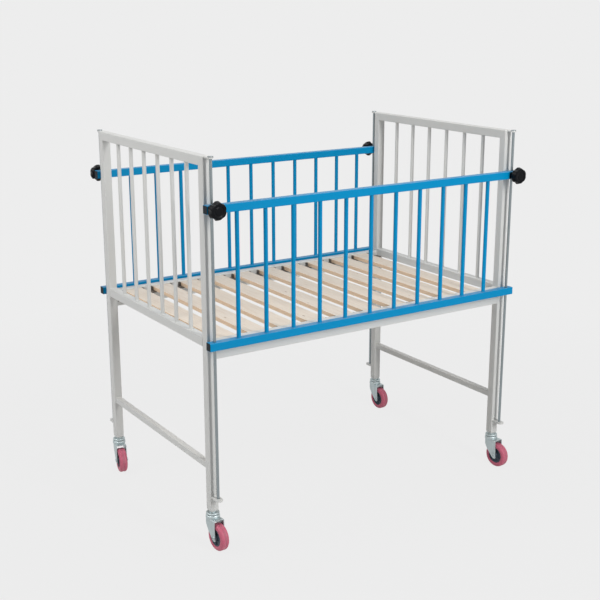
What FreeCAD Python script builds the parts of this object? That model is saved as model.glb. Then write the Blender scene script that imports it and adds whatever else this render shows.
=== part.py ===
import FreeCAD, Part
import math
import os
import re

import Sketcher

# Barred hospital crib on four swivel casters, as a parametric document in millimetres.
# +Z is up, X runs along the crib and Y across it. The origin lies on the floor, midway
# between the end frames and midway between the front and the rear posts.
#
# Two welded end frames are joined by two side rails. Flat slats lie between the side rails.
# A guard slides up and down on two guide rods at the front, and another at the rear, and
# each is held at its height by two star knobs that press a stud towards the rod.

DRIVING = [
    # alias, value, what it is
    ("frame_length", 1040.0, "over the posts, along X"),
    ("frame_width", 645.0, "over the posts, along Y"),
    ("frame_height", 1070.0, "floor to the top of the end frames"),
    ("post_foot_height", 106.0, "floor to the lower end of the posts"),
    ("tube_size", 25.0, "square tube of the end frames"),
    ("tube_wall", 1.5, "wall of every square tube"),
    ("tube_corner", 2.0, "outer corner radius of every square tube"),
    ("cross_rail_height", 571.0, "floor to the underside of the cross rails"),
    ("stretcher_size", 18.0, "square tube of the stretchers"),
    ("stretcher_height", 225.0, "floor to the underside of the stretchers"),
    ("end_bar_diameter", 11.0, "round bars of the end frames"),
    ("end_bar_count", 6.0, "bars in each end frame"),
    ("side_rail_depth", 50.0, "height of the side rail's section"),
    ("side_rail_height", 538.0, "floor to the underside of the side rails"),
    ("slat_count", 10.0, "slats in the deck"),
    ("slat_width", 60.0, "along X"),
    ("slat_thickness", 12.0, "along Z"),
    ("slat_drop", 3.0, "slat tops below the tops of the side rails"),
    ("slat_first_gap", 21.0, "left cross rail to the first slat"),
    ("slat_last_gap", 45.0, "last slat to the right cross rail"),
    ("clip_cheek_depth", 10.0, "cheek beside a slat's end, inwards from the side rail"),
    ("clip_cheek_width", 4.5, "cheek along X"),
    ("clip_shelf_depth", 28.0, "clip shelf, inwards from the side rail"),
    ("clip_shelf_thickness", 3.0, "along Z"),
    ("clip_shelf_lap", 15.0, "shelf under the neighbouring slat"),
    ("clip_flange_height", 18.0, "flange on the side rail, under the shelf"),
    ("clip_flange_thickness", 3.0, "flange, inwards from the side rail"),
    ("seat_clearance", 0.3, "between pieces that are laid or dropped in"),
    ("bore_clearance", 0.05, "radial, shaft in its bore"),
    ("clip_screw_diameter", 4.0, "shank"),
    ("clip_screw_head", 8.0, "head diameter"),
    ("clip_screw_head_height", 2.5, "along the screw"),
    ("clip_screw_grip", 6.0, "shank inwards from the rail's face"),
    ("rod_diameter", 8.0, "guide rods"),
    ("rod_offset", 20.0, "outer face of the posts to the rod's centre"),
    ("rod_cap_diameter", 15.0, "flat cap on the upper lug"),
    ("rod_cap_height", 2.5, "along Z"),
    ("upper_lug_width", 15.0, "along X, and over the round end"),
    ("upper_lug_reach", 27.5, "outwards from the posts"),
    ("upper_lug_thickness", 4.0, "along Z"),
    ("lower_lug_width", 20.0, "along X, and over the round end"),
    ("lower_lug_reach", 36.0, "outwards from the posts"),
    ("lower_lug_thickness", 5.0, "along Z"),
    ("lower_lug_height", 153.0, "floor to the top of the lower lugs"),
    ("guard_rail_size", 22.0, "square tube of the guards"),
    ("guard_drop", 119.0, "top of the end frames down to the top of a raised guard"),
    ("guard_height", 380.0, "over both rails of a guard"),
    ("guard_overhang", 18.0, "guard rail beyond the rod's centre"),
    ("guard_hole_clearance", 0.3, "radial, guard rail around the rod"),
    ("spindle_diameter", 11.5, "round bars of the guards"),
    ("spindle_count", 11.0, "spindles in each guard"),
    ("spindle_first", 72.0, "first rod to the first spindle"),
    ("spindle_last", 93.0, "last spindle to the other rod"),
    ("plug_depth", 10.0, "end plugs of the guard rails"),
    ("plug_clearance", 0.1, "around the plug, each side"),
    ("insert_plate_width", 34.0, "plate of the threaded insert, along X"),
    ("insert_plate_height", 20.0, "along Z"),
    ("insert_plate_thickness", 1.5, "outwards from the rail"),
    ("insert_diameter", 11.0, "threaded insert, through the wall"),
    ("insert_depth", 5.0, "inwards from the rail's face"),
    ("stud_diameter", 8.0, "clamp stud"),
    ("stud_in_knob", 16.0, "stud inside the knob"),
    ("knob_diameter", 50.0, "over the lobes, where they are widest"),
    ("knob_face_diameter", 43.5, "over the lobes, at the face"),
    ("knob_back_diameter", 36.0, "over the lobes, at the neck"),
    ("knob_depth", 22.0, "lobed part, along its axis"),
    ("knob_slope_depth", 12.5, "face to the widest ring, along the axis"),
    ("knob_neck_diameter", 24.0, "neck towards the rail"),
    ("knob_neck_length", 5.0, "along the axis"),
    ("knob_lobe_count", 6.0, "lobes"),
    ("knob_scallop_radius", 9.0, "hollow between two lobes"),
    ("knob_scallop_centre", 29.5, "from the knob's axis"),
    ("knob_dish_diameter", 26.0, "shallow dish in the face"),
    ("knob_dish_depth", 1.5, "along the axis"),
    ("wheel_diameter", 76.0, "over the tyre"),
    ("wheel_width", 25.0, "tyre, along the axle"),
    ("wheel_trail", 28.0, "swivel axis to the axle"),
    ("hub_diameter", 49.0, "inside the tyre"),
    ("hub_rim_width", 22.0, "along the axle"),
    ("hub_rim_thickness", 4.0, "radial"),
    ("hub_web_width", 15.0, "along the axle"),
    ("hub_boss_diameter", 19.0, "around the axle"),
    ("tyre_groove_width", 5.0, "groove between the tyre's ribs"),
    ("tyre_groove_depth", 1.0, "radial"),
    ("tyre_shoulder", 4.0, "chamfer of the tyre's edges"),
    ("axle_diameter", 8.0, "riveted axle"),
    ("axle_head_diameter", 12.0, "flat heads outside the legs"),
    ("axle_head_height", 3.0, "along the axle"),
    ("axle_hollow_diameter", 5.0, "hollow in each end of the axle"),
    ("axle_hollow_depth", 5.0, "along the axle"),
    ("fork_inner_width", 28.0, "between the legs"),
    ("fork_sheet", 2.5, "thickness of the pressed sheet"),
    ("fork_top_height", 88.0, "floor to the top of the fork's sheet"),
    ("fork_tip_radius", 10.0, "leg around the axle"),
    ("fork_back", 10.0, "top of the leg behind the swivel axis"),
    ("fork_front", 31.0, "top of the leg before the swivel axis"),
    ("fork_knee_height", 70.0, "upper knee of the leg's rear edge"),
    ("fork_heel_height", 51.0, "lower knee of the leg's rear edge"),
    ("fork_heel_front", 1.0, "lower knee before the swivel axis"),
    ("race_diameter", 39.0, "lower race, part of the fork"),
    ("race_top_height", 96.2, "floor to the top of the lower race"),
    ("race_bevel", 2.0, "bevel of the lower race"),
    ("cap_diameter", 37.0, "upper race, fixed to the post"),
    ("cap_low", 97.5, "floor to the underside of the upper race"),
    ("cap_high", 103.0, "floor to the top of the upper race"),
    ("ball_ring_diameter", 26.0, "ring between the races"),
    ("kingpin_diameter", 10.0, "pin through the fork"),
    ("kingpin_head_diameter", 16.0, "riveted head under the fork"),
    ("kingpin_head_height", 3.0, "along Z"),
    ("neck_diameter", 20.0, "between the upper race and the post"),
    ("stem_diameter", 11.0, "stem inside the post"),
    ("stem_length", 35.0, "stem above the post's foot"),
    ("post_insert_length", 42.0, "plastic insert inside the post"),
    ("yaw_front_left", 3.5, "caster's turn about Z, degrees"),
    ("yaw_front_right", 6.4, "caster's turn about Z, degrees"),
    ("yaw_rear_right", 1.4, "caster's turn about Z, degrees"),
    ("yaw_rear_left", -12.0, "caster's turn about Z, degrees"),
]

DERIVED = [
    # alias, formula, what it is
    ("half_width", "frame_width / 2", "centre to the outer faces of the posts"),
    ("post_x", "(frame_length - tube_size) / 2", "centre of the posts"),
    ("post_y", "(frame_width - tube_size) / 2", "centre of the posts"),
    ("post_length", "frame_height - post_foot_height", "along Z"),
    ("inner_length", "frame_length - 2 * tube_size", "between the end frames"),
    ("inner_width", "frame_width - 2 * tube_size", "between the side rails"),
    ("end_bar_pitch", "inner_width / (end_bar_count + 1)", "equal gaps"),
    ("end_bar_low", "cross_rail_height + tube_size", "on top of the cross rail"),
    ("end_bar_length", "frame_height - tube_size - end_bar_low", "up to the top rail"),
    ("side_rail_top", "side_rail_height + side_rail_depth", "above the floor"),
    ("slat_top", "side_rail_top - slat_drop", "above the floor"),
    ("slat_low", "slat_top - slat_thickness", "above the floor"),
    ("slat_first_x", "slat_first_gap - inner_length / 2", "left edge of the first slat"),
    ("slat_run", "inner_length - slat_first_gap - slat_last_gap - slat_width", "first to last"),
    ("slat_pitch", "slat_run / (slat_count - 1)", "equal gaps"),
    ("slat_gap", "slat_pitch - slat_width", "between two slats"),
    ("shelf_low", "slat_low - clip_shelf_thickness", "underside of the clip shelves"),
    ("clip_screw_level", "shelf_low - clip_flange_height / 2", "height of the clip screws"),
    ("rod_y", "half_width + rod_offset", "centre of the guide rods"),
    ("rod_low", "lower_lug_height - lower_lug_thickness", "lower end of the rods"),
    ("rod_length", "frame_height - rod_low", "up to the top of the upper lugs"),
    ("guard_high", "frame_height - guard_drop", "floor to the top of a raised guard"),
    ("guard_low", "guard_high - guard_height", "floor to the underside of a raised guard"),
    ("guard_rail_length", "2 * post_x + 2 * guard_overhang", "over the end plugs"),
    ("guard_low_middle", "guard_low + guard_rail_size / 2", "axis of the lower rail"),
    ("guard_high_middle", "guard_high - guard_rail_size / 2", "axis of the upper rail"),
    ("spindle_run", "2 * post_x - spindle_first - spindle_last", "first to last spindle"),
    ("spindle_low", "guard_low + guard_rail_size", "on top of the lower rail"),
    ("spindle_length", "guard_high - guard_rail_size - spindle_low", "up to the upper rail"),
    ("guard_face_y", "rod_y + guard_rail_size / 2", "outer face of the guard rails"),
    ("knob_seat", "insert_plate_thickness + seat_clearance", "rail's face to the knob's neck"),
    ("stud_reach", "guard_rail_size / 2 - rod_diameter / 2 - seat_clearance", "rail's face to the tip"),
    ("axle_height", "wheel_diameter / 2", "above the floor"),
    ("fork_outer_width", "fork_inner_width + 2 * fork_sheet", "over the legs"),
    ("hub_width", "fork_inner_width - 2 * seat_clearance", "over the bosses"),
]

SIDES = {"left": -1, "right": 1}
FRONT_AND_REAR = {"front": 1, "rear": -1}
CORNERS = {
    "front_left": (-1, -1),
    "front_right": (1, -1),
    "rear_left": (-1, 1),
    "rear_right": (1, 1),
}

VERTICAL = FreeCAD.Rotation()
ALONG_X = FreeCAD.Rotation(FreeCAD.Vector(0, 1, 0), 90)
ALONG_Y = FreeCAD.Rotation(FreeCAD.Vector(1, 0, 0), -90)
TOWARDS_FRONT = FreeCAD.Rotation(FreeCAD.Vector(1, 0, 0), 90)
HALF_TURN = FreeCAD.Rotation(FreeCAD.Vector(0, 0, 1), 180)

doc = FreeCAD.newDocument("HospitalCrib")
sheet = doc.addObject("Spreadsheet::Sheet", "Dims")
sub_parts = []


# ---------------------------------------------------------------- sheet and helpers

def fill_sheet():
    """Write the driving dimensions and the formulas that follow from them."""
    for row, (alias, value, meaning) in enumerate(DRIVING, start=1):
        sheet.set(f"A{row}", meaning)
        sheet.set(f"B{row}", str(value))
        sheet.setAlias(f"B{row}", alias)
    for row, (alias, formula, meaning) in enumerate(DERIVED, start=len(DRIVING) + 1):
        sheet.set(f"A{row}", meaning)
        sheet.set(f"B{row}", "=" + formula)
        sheet.setAlias(f"B{row}", alias)
    doc.recompute()


def value_of(formula):
    """The number that a formula of the sheet gives now."""
    return float(sheet.evalExpression(formula))


def in_sheet(formula):
    """The formula with each alias written as another object refers to it."""
    aliases = {entry[0] for entry in DRIVING + DERIVED}
    return re.sub(
        "[a-z][a-z_]*",
        lambda word: f"Dims.{word[0]}" if word[0] in aliases else word[0],
        formula)


def bind(item, **formulas):
    """Bind properties of an object to formulas of the sheet."""
    for name, formula in formulas.items():
        item.setExpression(name, in_sheet(formula))


def place(item, x="0", y="0", z="0", rotation=VERTICAL):
    """Turn an object, and bind its position to formulas of the sheet."""
    item.Placement = FreeCAD.Placement(FreeCAD.Vector(), rotation)
    for axis, formula in (("x", x), ("y", y), ("z", z)):
        item.setExpression(f"Placement.Base.{axis}", in_sheet(formula))
    return item


def sub_part(item, label):
    """Name an object as a sub-part of the crib and list it for export."""
    item.Label = label
    sub_parts.append(item)
    return item


def new_body(name):
    """An empty PartDesign body."""
    return doc.addObject("PartDesign::Body", name)


def origin_feature(body, role):
    """A plane or an axis of the body's own origin."""
    return next(item for item in body.Origin.OriginFeatures if item.Role == role)


def new_sketch(body, plane):
    """A sketch on one of the body's origin planes."""
    sketch = body.newObject("Sketcher::SketchObject", "Sketch")
    sketch.AttachmentSupport = [(origin_feature(body, plane), "")]
    sketch.MapMode = "FlatFace"
    return sketch


def constrain(sketch, name, formula, kind, *where):
    """Add a dimension to a sketch and bind it to a formula of the sheet."""
    index = sketch.addConstraint(Sketcher.Constraint(kind, *where, value_of(formula)))
    sketch.renameConstraint(index, name)
    sketch.setExpression(f"Constraints.{name}", in_sheet(formula))


def draw_rectangle(sketch, name, width, height):
    """A rectangle centred on the sketch's origin."""
    x = value_of(width) / 2
    y = value_of(height) / 2
    corners = [(-x, -y), (x, -y), (x, y), (-x, y)]
    first = sketch.GeometryCount
    for start, end in zip(corners, corners[1:] + corners[:1]):
        sketch.addGeometry(Part.LineSegment(FreeCAD.Vector(*start, 0), FreeCAD.Vector(*end, 0)))
    for index in range(4):
        after = first + (index + 1) % 4
        sketch.addConstraint(Sketcher.Constraint("Coincident", first + index, 2, after, 1))
    for index in (0, 2):
        sketch.addConstraint(Sketcher.Constraint("Horizontal", first + index))
        sketch.addConstraint(Sketcher.Constraint("Vertical", first + index + 1))
    sketch.addConstraint(Sketcher.Constraint("Symmetric", first, 1, first + 2, 1, -1, 1))
    constrain(sketch, f"{name}_width", width, "DistanceX", first, 1, first, 2)
    constrain(sketch, f"{name}_height", height, "DistanceY", first + 1, 1, first + 1, 2)


def draw_outline(sketch, name, points):
    """A closed outline of straight lines through points that are given as formulas."""
    places = [FreeCAD.Vector(value_of(x), value_of(y), 0) for x, y in points]
    first = sketch.GeometryCount
    count = len(points)
    for index in range(count):
        sketch.addGeometry(Part.LineSegment(places[index], places[(index + 1) % count]))
    for index, (x, y) in enumerate(points):
        after = first + (index + 1) % count
        sketch.addConstraint(Sketcher.Constraint("Coincident", first + index, 2, after, 1))
        constrain(sketch, f"{name}_x{index}", x, "DistanceX", -1, 1, first + index, 1)
        constrain(sketch, f"{name}_y{index}", y, "DistanceY", -1, 1, first + index, 1)


def draw_circle(sketch, name, diameter, x="0", y="0"):
    """A circle at a place that is given by formulas."""
    centre = FreeCAD.Vector(value_of(x), value_of(y), 0)
    upright = FreeCAD.Vector(0, 0, 1)
    circle = sketch.addGeometry(Part.Circle(centre, upright, value_of(diameter) / 2))
    constrain(sketch, f"{name}_size", diameter, "Diameter", circle)
    constrain(sketch, f"{name}_x", x, "DistanceX", -1, 1, circle, 3)
    constrain(sketch, f"{name}_y", y, "DistanceY", -1, 1, circle, 3)


def pad(body, sketch, length, both_ways=False):
    """Pad a sketch along its normal, or half of the length each way."""
    feature = body.newObject("PartDesign::Pad", "Pad")
    feature.Profile = sketch
    feature.Midplane = both_ways
    bind(feature, Length=length)
    doc.recompute()
    return feature


def pocket_through(body, sketch):
    """Cut a sketch right through the body, both ways."""
    feature = body.newObject("PartDesign::Pocket", "Pocket")
    feature.Profile = sketch
    feature.Type = "ThroughAll"
    feature.Midplane = True
    before = body.Shape.Volume
    doc.recompute()
    if body.Shape.Volume >= before:
        raise RuntimeError(f"{body.Label}: a pocket cuts nothing")
    return feature


def revolve(body, points):
    """Revolve an outline of (radius, height) points about the body's Z axis."""
    sketch = new_sketch(body, "XZ_Plane")
    draw_outline(sketch, "turned", points)
    feature = body.newObject("PartDesign::Revolution", "Revolution")
    feature.Profile = sketch
    feature.ReferenceAxis = (origin_feature(body, "Z_Axis"), [""])
    feature.Angle = 360
    doc.recompute()
    return feature


def row(body, feature, axis, length, count):
    """Repeat a feature along an axis of the body, over a length."""
    pattern = body.newObject("PartDesign::LinearPattern", "Row")
    pattern.Originals = [feature]
    pattern.Direction = (origin_feature(body, axis), [""])
    bind(pattern, Length=length, Occurrences=count)
    body.Tip = pattern
    doc.recompute()
    return pattern


def at_four_corners(body, feature, y, z="0"):
    """Repeat a feature of the front left corner at the three other corners."""
    pattern = row(body, feature, "X_Axis", "2 * post_x", "2")
    pattern.Direction2 = (origin_feature(body, "Y_Axis"), [""])
    bind(pattern, Length2=f"2 * {y}", Occurrences2="2")
    place(body, "-post_x", f"-{y}", z)
    doc.recompute()
    return body


def is_outer_long_edge(edge, width, depth):
    """Whether an edge runs along Z on a corner of a section of this size."""
    start = edge.Vertexes[0].Point
    end = edge.Vertexes[-1].Point
    along = abs(start.x - end.x) < 1e-6 and abs(start.y - end.y) < 1e-6
    on_corner = abs(abs(start.x) - width / 2) < 1e-6 and abs(abs(start.y) - depth / 2) < 1e-6
    return along and on_corner


def square_tube(name, width, depth, length):
    """A square or rectangular tube along Z from the origin, with round outer corners."""
    body = new_body(name)
    sketch = new_sketch(body, "XY_Plane")
    draw_rectangle(sketch, "outer", width, depth)
    draw_rectangle(sketch, "inner", f"{width} - 2 * tube_wall", f"{depth} - 2 * tube_wall")
    blank = pad(body, sketch, length)
    edges = [
        f"Edge{index}"
        for index, edge in enumerate(blank.Shape.Edges, start=1)
        if is_outer_long_edge(edge, value_of(width), value_of(depth))
    ]
    corners = body.newObject("PartDesign::Fillet", "Corners")
    corners.Base = (blank, edges)
    bind(corners, Radius="tube_corner")
    doc.recompute()
    return body


def cylinder(diameter, length, x="0", y="0", z="0", rotation=VERTICAL):
    """A plain cylinder along its own Z axis."""
    item = doc.addObject("Part::Cylinder", "Cylinder")
    bind(item, Radius=f"({diameter}) / 2", Height=length)
    return place(item, x, y, z, rotation)


def block(size_x, size_y, size_z, x, y, z):
    """A plain box from its lowest corner."""
    item = doc.addObject("Part::Box", "Box")
    bind(item, Length=size_x, Width=size_y, Height=size_z)
    return place(item, x, y, z)


def compound(items, name="Compound"):
    """Several solids kept as one object."""
    item = doc.addObject("Part::Compound", name)
    item.Links = items
    return item


def fuse(items):
    """Several overlapping or touching solids made one."""
    item = doc.addObject("Part::MultiFuse", "Fuse")
    item.Shapes = items
    return item


def cut(base, tools, name="Cut"):
    """A solid with other solids taken away from it."""
    item = doc.addObject("Part::Cut", name)
    item.Base = base
    item.Tool = tools[0] if len(tools) == 1 else compound(tools)
    return item


# ---------------------------------------------------------------- end frames

def make_post(corner):
    """A corner post, mitred at its top where it turns into the top rail."""
    side, across = CORNERS[corner]
    body = square_tube(f"Post_{corner}", "tube_size", "tube_size", "post_length")
    mitre = new_sketch(body, "YZ_Plane")
    draw_outline(mitre, "mitre", [
        ("-tube_size / 2", "post_length"),
        ("tube_size / 2", "post_length - tube_size"),
        ("tube_size / 2 + tube_size", "post_length - tube_size"),
        ("tube_size / 2 + tube_size", "post_length + tube_size"),
        ("-tube_size / 2", "post_length + tube_size"),
    ])
    pocket_through(body, mitre)
    turn = VERTICAL if across < 0 else HALF_TURN
    place(body, f"{side} * post_x", f"{across} * post_y", "post_foot_height", turn)
    sub_part(body, f"post_{corner}")


def make_top_rail(side):
    """The top rail of an end frame, mitred at both ends."""
    body = square_tube(f"TopRail_{side}", "tube_size", "tube_size", "frame_width")
    mitre = new_sketch(body, "YZ_Plane")
    draw_outline(mitre, "front", [
        ("-tube_size / 2", "0"),
        ("tube_size / 2", "tube_size"),
        ("3 * tube_size / 2", "tube_size"),
        ("3 * tube_size / 2", "-tube_size"),
        ("-tube_size / 2", "-tube_size"),
    ])
    draw_outline(mitre, "rear", [
        ("-tube_size / 2", "frame_width"),
        ("tube_size / 2", "frame_width - tube_size"),
        ("3 * tube_size / 2", "frame_width - tube_size"),
        ("3 * tube_size / 2", "frame_width + tube_size"),
        ("-tube_size / 2", "frame_width + tube_size"),
    ])
    pocket_through(body, mitre)
    height = "frame_height - tube_size / 2"
    place(body, f"{SIDES[side]} * post_x", "-half_width", height, ALONG_Y)
    sub_part(body, f"top_rail_{side}")


def make_cross_member(side, name, size, height):
    """A tube between the two posts of an end frame, from its size and its underside."""
    body = square_tube(f"{name}_{side}", size, size, "inner_width")
    place(body, f"{SIDES[side]} * post_x", "-inner_width / 2", f"{height} + {size} / 2", ALONG_Y)
    sub_part(body, f"{name}_{side}")


def make_end_bars(side):
    """The round bars between the cross rail and the top rail."""
    body = new_body(f"EndBars_{side}")
    sketch = new_sketch(body, "XY_Plane")
    draw_circle(sketch, "bar", "end_bar_diameter")
    bar = pad(body, sketch, "end_bar_length")
    row(body, bar, "Y_Axis", "end_bar_pitch * (end_bar_count - 1)", "end_bar_count")
    first = "-end_bar_pitch * (end_bar_count - 1) / 2"
    place(body, f"{SIDES[side]} * post_x", first, "end_bar_low")
    sub_part(body, f"end_bars_{side}")


# ---------------------------------------------------------------- deck

def inwards_along_y(inwards):
    """The turn that points a cylinder's axis from a side rail into the crib."""
    return ALONG_Y if inwards > 0 else TOWARDS_FRONT


def clip_screw_places():
    """The places of the clip screws along X: one in each gap beside or between slats."""
    left = "(slat_first_gap + seat_clearance) / 2 - inner_length / 2"
    right = "inner_length / 2 - (slat_last_gap + seat_clearance) / 2"
    between = [
        f"slat_first_x + slat_width + slat_gap / 2 + {index} * slat_pitch"
        for index in range(int(value_of("slat_count")) - 1)
    ]
    return [left] + between + [right]


def make_side_rail(row_name):
    """A rail along the crib, with a hole for each clip screw in its inner wall."""
    inwards = FRONT_AND_REAR[row_name]
    name = f"side_rail_{row_name}"
    blank = square_tube(f"{name}_blank", "side_rail_depth", "tube_size", "inner_length")
    middle = "side_rail_height + side_rail_depth / 2"
    place(blank, "-inner_length / 2", f"{-inwards} * post_y", middle, ALONG_X)
    drill = "clip_screw_diameter + 2 * bore_clearance"
    start = f"{-inwards} * post_y"
    drills = [
        cylinder(drill, "tube_size", x, start, "clip_screw_level", inwards_along_y(inwards))
        for x in clip_screw_places()
    ]
    sub_part(cut(blank, drills, name), name)


def make_slats():
    """The flat slats of the deck, between the side rails."""
    body = new_body("Slats")
    sketch = new_sketch(body, "XY_Plane")
    length = "inner_width - 2 * seat_clearance"
    draw_rectangle(sketch, "slat", "slat_width", length)
    slat = pad(body, sketch, "slat_thickness")
    row(body, slat, "X_Axis", "slat_run", "slat_count")
    place(body, "slat_first_x + slat_width / 2", "0", "slat_low")
    sub_part(body, "slats")


def make_slat_clip(low_x, high_x, lap_low, lap_high, inwards):
    """A shelf under two slats, a cheek beside each, and a flange that is screwed to the rail."""
    width = f"({high_x}) - ({low_x})"
    rail_face = f"{-inwards} * inner_width / 2"

    def on_rail(size_x, depth, size_z, x, z):
        """A block that reaches inwards from the rail's face."""
        low_y = rail_face if inwards > 0 else f"{rail_face} - {depth}"
        return block(size_x, depth, size_z, x, low_y, z)

    solids = [
        on_rail(
            f"{width} + {lap_low} + {lap_high}", "clip_shelf_depth", "clip_shelf_thickness",
            f"{low_x} - {lap_low}", "shelf_low"),
        on_rail(
            width, "clip_flange_thickness", "clip_flange_height",
            low_x, "shelf_low - clip_flange_height"),
    ]
    cheeks = []
    if lap_low != "0":
        cheeks.append(f"{low_x} + seat_clearance")
    if lap_high != "0":
        cheeks.append(f"{high_x} - seat_clearance - clip_cheek_width")
    for x in cheeks:
        solids.append(on_rail("clip_cheek_width", "clip_cheek_depth", "slat_thickness", x, "slat_low"))
    drill = cylinder(
        "clip_screw_diameter + 2 * bore_clearance", "clip_shelf_depth",
        f"(({low_x}) + ({high_x})) / 2", rail_face, "clip_screw_level", inwards_along_y(inwards))
    return cut(fuse(solids), [drill])


def make_slat_clips(row_name):
    """The plastic clips along one side rail."""
    inwards = FRONT_AND_REAR[row_name]
    left_end = "seat_clearance - inner_length / 2"
    right_end = "inner_length / 2 - seat_clearance"
    last_slat_end = "slat_first_x + slat_run + slat_width"
    clips = [
        make_slat_clip(left_end, "slat_first_x", "0", "clip_shelf_lap", inwards),
    ]
    for index in range(int(value_of("slat_count")) - 1):
        low_x = f"slat_first_x + slat_width + {index} * slat_pitch"
        high_x = f"{low_x} + slat_gap"
        clips.append(make_slat_clip(low_x, high_x, "clip_shelf_lap", "clip_shelf_lap", inwards))
    clips.append(make_slat_clip(last_slat_end, right_end, "clip_shelf_lap", "0", inwards))
    name = f"slat_clips_{row_name}"
    sub_part(compound(clips, name), name)


def make_clip_screws(row_name):
    """The screws that hold the clips to one side rail."""
    inwards = FRONT_AND_REAR[row_name]
    rotation = inwards_along_y(inwards)
    screws = []
    for x in clip_screw_places():
        shank = cylinder(
            "clip_screw_diameter", "clip_screw_grip + clip_flange_thickness",
            x, f"{-inwards} * (inner_width / 2 + clip_screw_grip)", "clip_screw_level", rotation)
        head = cylinder(
            "clip_screw_head", "clip_screw_head_height",
            x, f"{-inwards} * (inner_width / 2 - clip_flange_thickness)", "clip_screw_level", rotation)
        screws.append(fuse([shank, head]))
    name = f"clip_screws_{row_name}"
    sub_part(compound(screws, name), name)


# ---------------------------------------------------------------- guide rods

def make_lugs(name, width, reach, thickness, top):
    """A plate with a round end on each post, which holds one end of a guide rod."""
    straight = f"({reach} - {width} / 2)"
    low_z = f"{top} - {thickness}"
    lugs = []
    for side, across in CORNERS.values():
        x = f"{side} * post_x"
        low_y = f"-half_width - {straight}" if across < 0 else "half_width"
        plate = block(width, straight, thickness, f"{x} - {width} / 2", low_y, low_z)
        end = cylinder(width, thickness, x, f"{across} * (half_width + {straight})", low_z)
        hole = cylinder(
            "rod_diameter + 2 * bore_clearance", f"3 * {thickness}",
            x, f"{across} * rod_y", f"{top} - 2 * {thickness}")
        lugs.append(cut(fuse([plate, end]), [hole]))
    sub_part(compound(lugs, name), name)


def make_guide_rods(row_name):
    """The two rods of a guard, from the lower lugs up through the upper ones."""
    body = new_body(f"GuideRods_{row_name}")
    sketch = new_sketch(body, "XY_Plane")
    draw_circle(sketch, "rod", "rod_diameter")
    rod = pad(body, sketch, "rod_length")
    row(body, rod, "X_Axis", "2 * post_x", "2")
    place(body, "-post_x", f"{-FRONT_AND_REAR[row_name]} * rod_y", "rod_low")
    sub_part(body, f"guide_rods_{row_name}")


def make_rod_caps():
    """The flat caps on the upper ends of the four guide rods."""
    body = new_body("RodCaps")
    sketch = new_sketch(body, "XY_Plane")
    draw_circle(sketch, "cap", "rod_cap_diameter")
    cap = pad(body, sketch, "rod_cap_height")
    sub_part(at_four_corners(body, cap, "rod_y", "frame_height"), "rod_caps")


# ---------------------------------------------------------------- guards

def make_guard_rail(row_name, level, middle, with_insert):
    """A rail of a guard, drilled for the guide rods and, above, for the clamp inserts."""
    half = FRONT_AND_REAR[row_name]
    name = f"guard_{level}_rail_{row_name}"
    blank = square_tube(f"{name}_blank", "guard_rail_size", "guard_rail_size", "guard_rail_length")
    place(blank, "-guard_rail_length / 2", f"{-half} * rod_y", middle, ALONG_X)
    outwards = TOWARDS_FRONT if half > 0 else ALONG_Y
    drills = []
    for side in SIDES.values():
        drills.append(cylinder(
            "rod_diameter + 2 * guard_hole_clearance", "2 * guard_rail_size",
            f"{side} * post_x", f"{-half} * rod_y", f"{middle} - guard_rail_size"))
        if with_insert:
            drills.append(cylinder(
                "insert_diameter + 2 * bore_clearance", "guard_rail_size",
                f"{side} * post_x", f"{-half} * rod_y", middle, outwards))
    sub_part(cut(blank, drills, name), name)


def make_spindles(row_name):
    """The round bars of a guard. The rear guard is the front one turned half round."""
    half = FRONT_AND_REAR[row_name]
    body = new_body(f"Spindles_{row_name}")
    sketch = new_sketch(body, "XY_Plane")
    draw_circle(sketch, "spindle", "spindle_diameter")
    spindle = pad(body, sketch, "spindle_length")
    row(body, spindle, "X_Axis", "spindle_run", "spindle_count")
    turn = VERTICAL if half > 0 else HALF_TURN
    place(body, f"{half} * (spindle_first - post_x)", f"{-half} * rod_y", "spindle_low", turn)
    sub_part(body, f"spindles_{row_name}")


def make_end_plugs(row_name):
    """The plastic plugs in the open ends of a guard's rails."""
    half = FRONT_AND_REAR[row_name]
    size = "guard_rail_size - 2 * tube_wall - 2 * plug_clearance"
    plugs = []
    for side in SIDES.values():
        for middle in ("guard_low_middle", "guard_high_middle"):
            inner_end = "guard_rail_length / 2"
            low_x = f"-{inner_end}" if side < 0 else f"{inner_end} - plug_depth"
            low_y = f"{-half} * rod_y - ({size}) / 2"
            plugs.append(block("plug_depth", size, size, low_x, low_y, f"{middle} - ({size}) / 2"))
    name = f"guard_end_plugs_{row_name}"
    sub_part(compound(plugs, name), name)


def make_clamp_inserts(row_name):
    """The plates with threaded barrels in the outer wall of a guard's upper rail."""
    half = FRONT_AND_REAR[row_name]
    outwards = TOWARDS_FRONT if half > 0 else ALONG_Y
    inserts = []
    for side in SIDES.values():
        x = f"{side} * post_x"
        plate = block(
            "insert_plate_width", "insert_plate_thickness", "insert_plate_height",
            f"{x} - insert_plate_width / 2",
            "-guard_face_y - insert_plate_thickness" if half > 0 else "guard_face_y",
            "guard_high_middle - insert_plate_height / 2")
        barrel = cylinder(
            "insert_diameter", "insert_depth",
            x, f"{-half} * (guard_face_y - insert_depth)", "guard_high_middle", outwards)
        bore = cylinder(
            "stud_diameter + 2 * bore_clearance", "4 * insert_depth",
            x, f"{-half} * (guard_face_y - 2 * insert_depth)", "guard_high_middle", outwards)
        inserts.append(cut(fuse([plate, barrel]), [bore]))
    name = f"clamp_inserts_{row_name}"
    sub_part(compound(inserts, name), name)


def clamp_pose(corner):
    """The place and turn of a clamp: its Z axis points outwards from the rail's face."""
    side, across = CORNERS[corner]
    outwards = TOWARDS_FRONT if across < 0 else ALONG_Y
    return f"{side} * post_x", f"{across} * guard_face_y", "guard_high_middle", outwards


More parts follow.
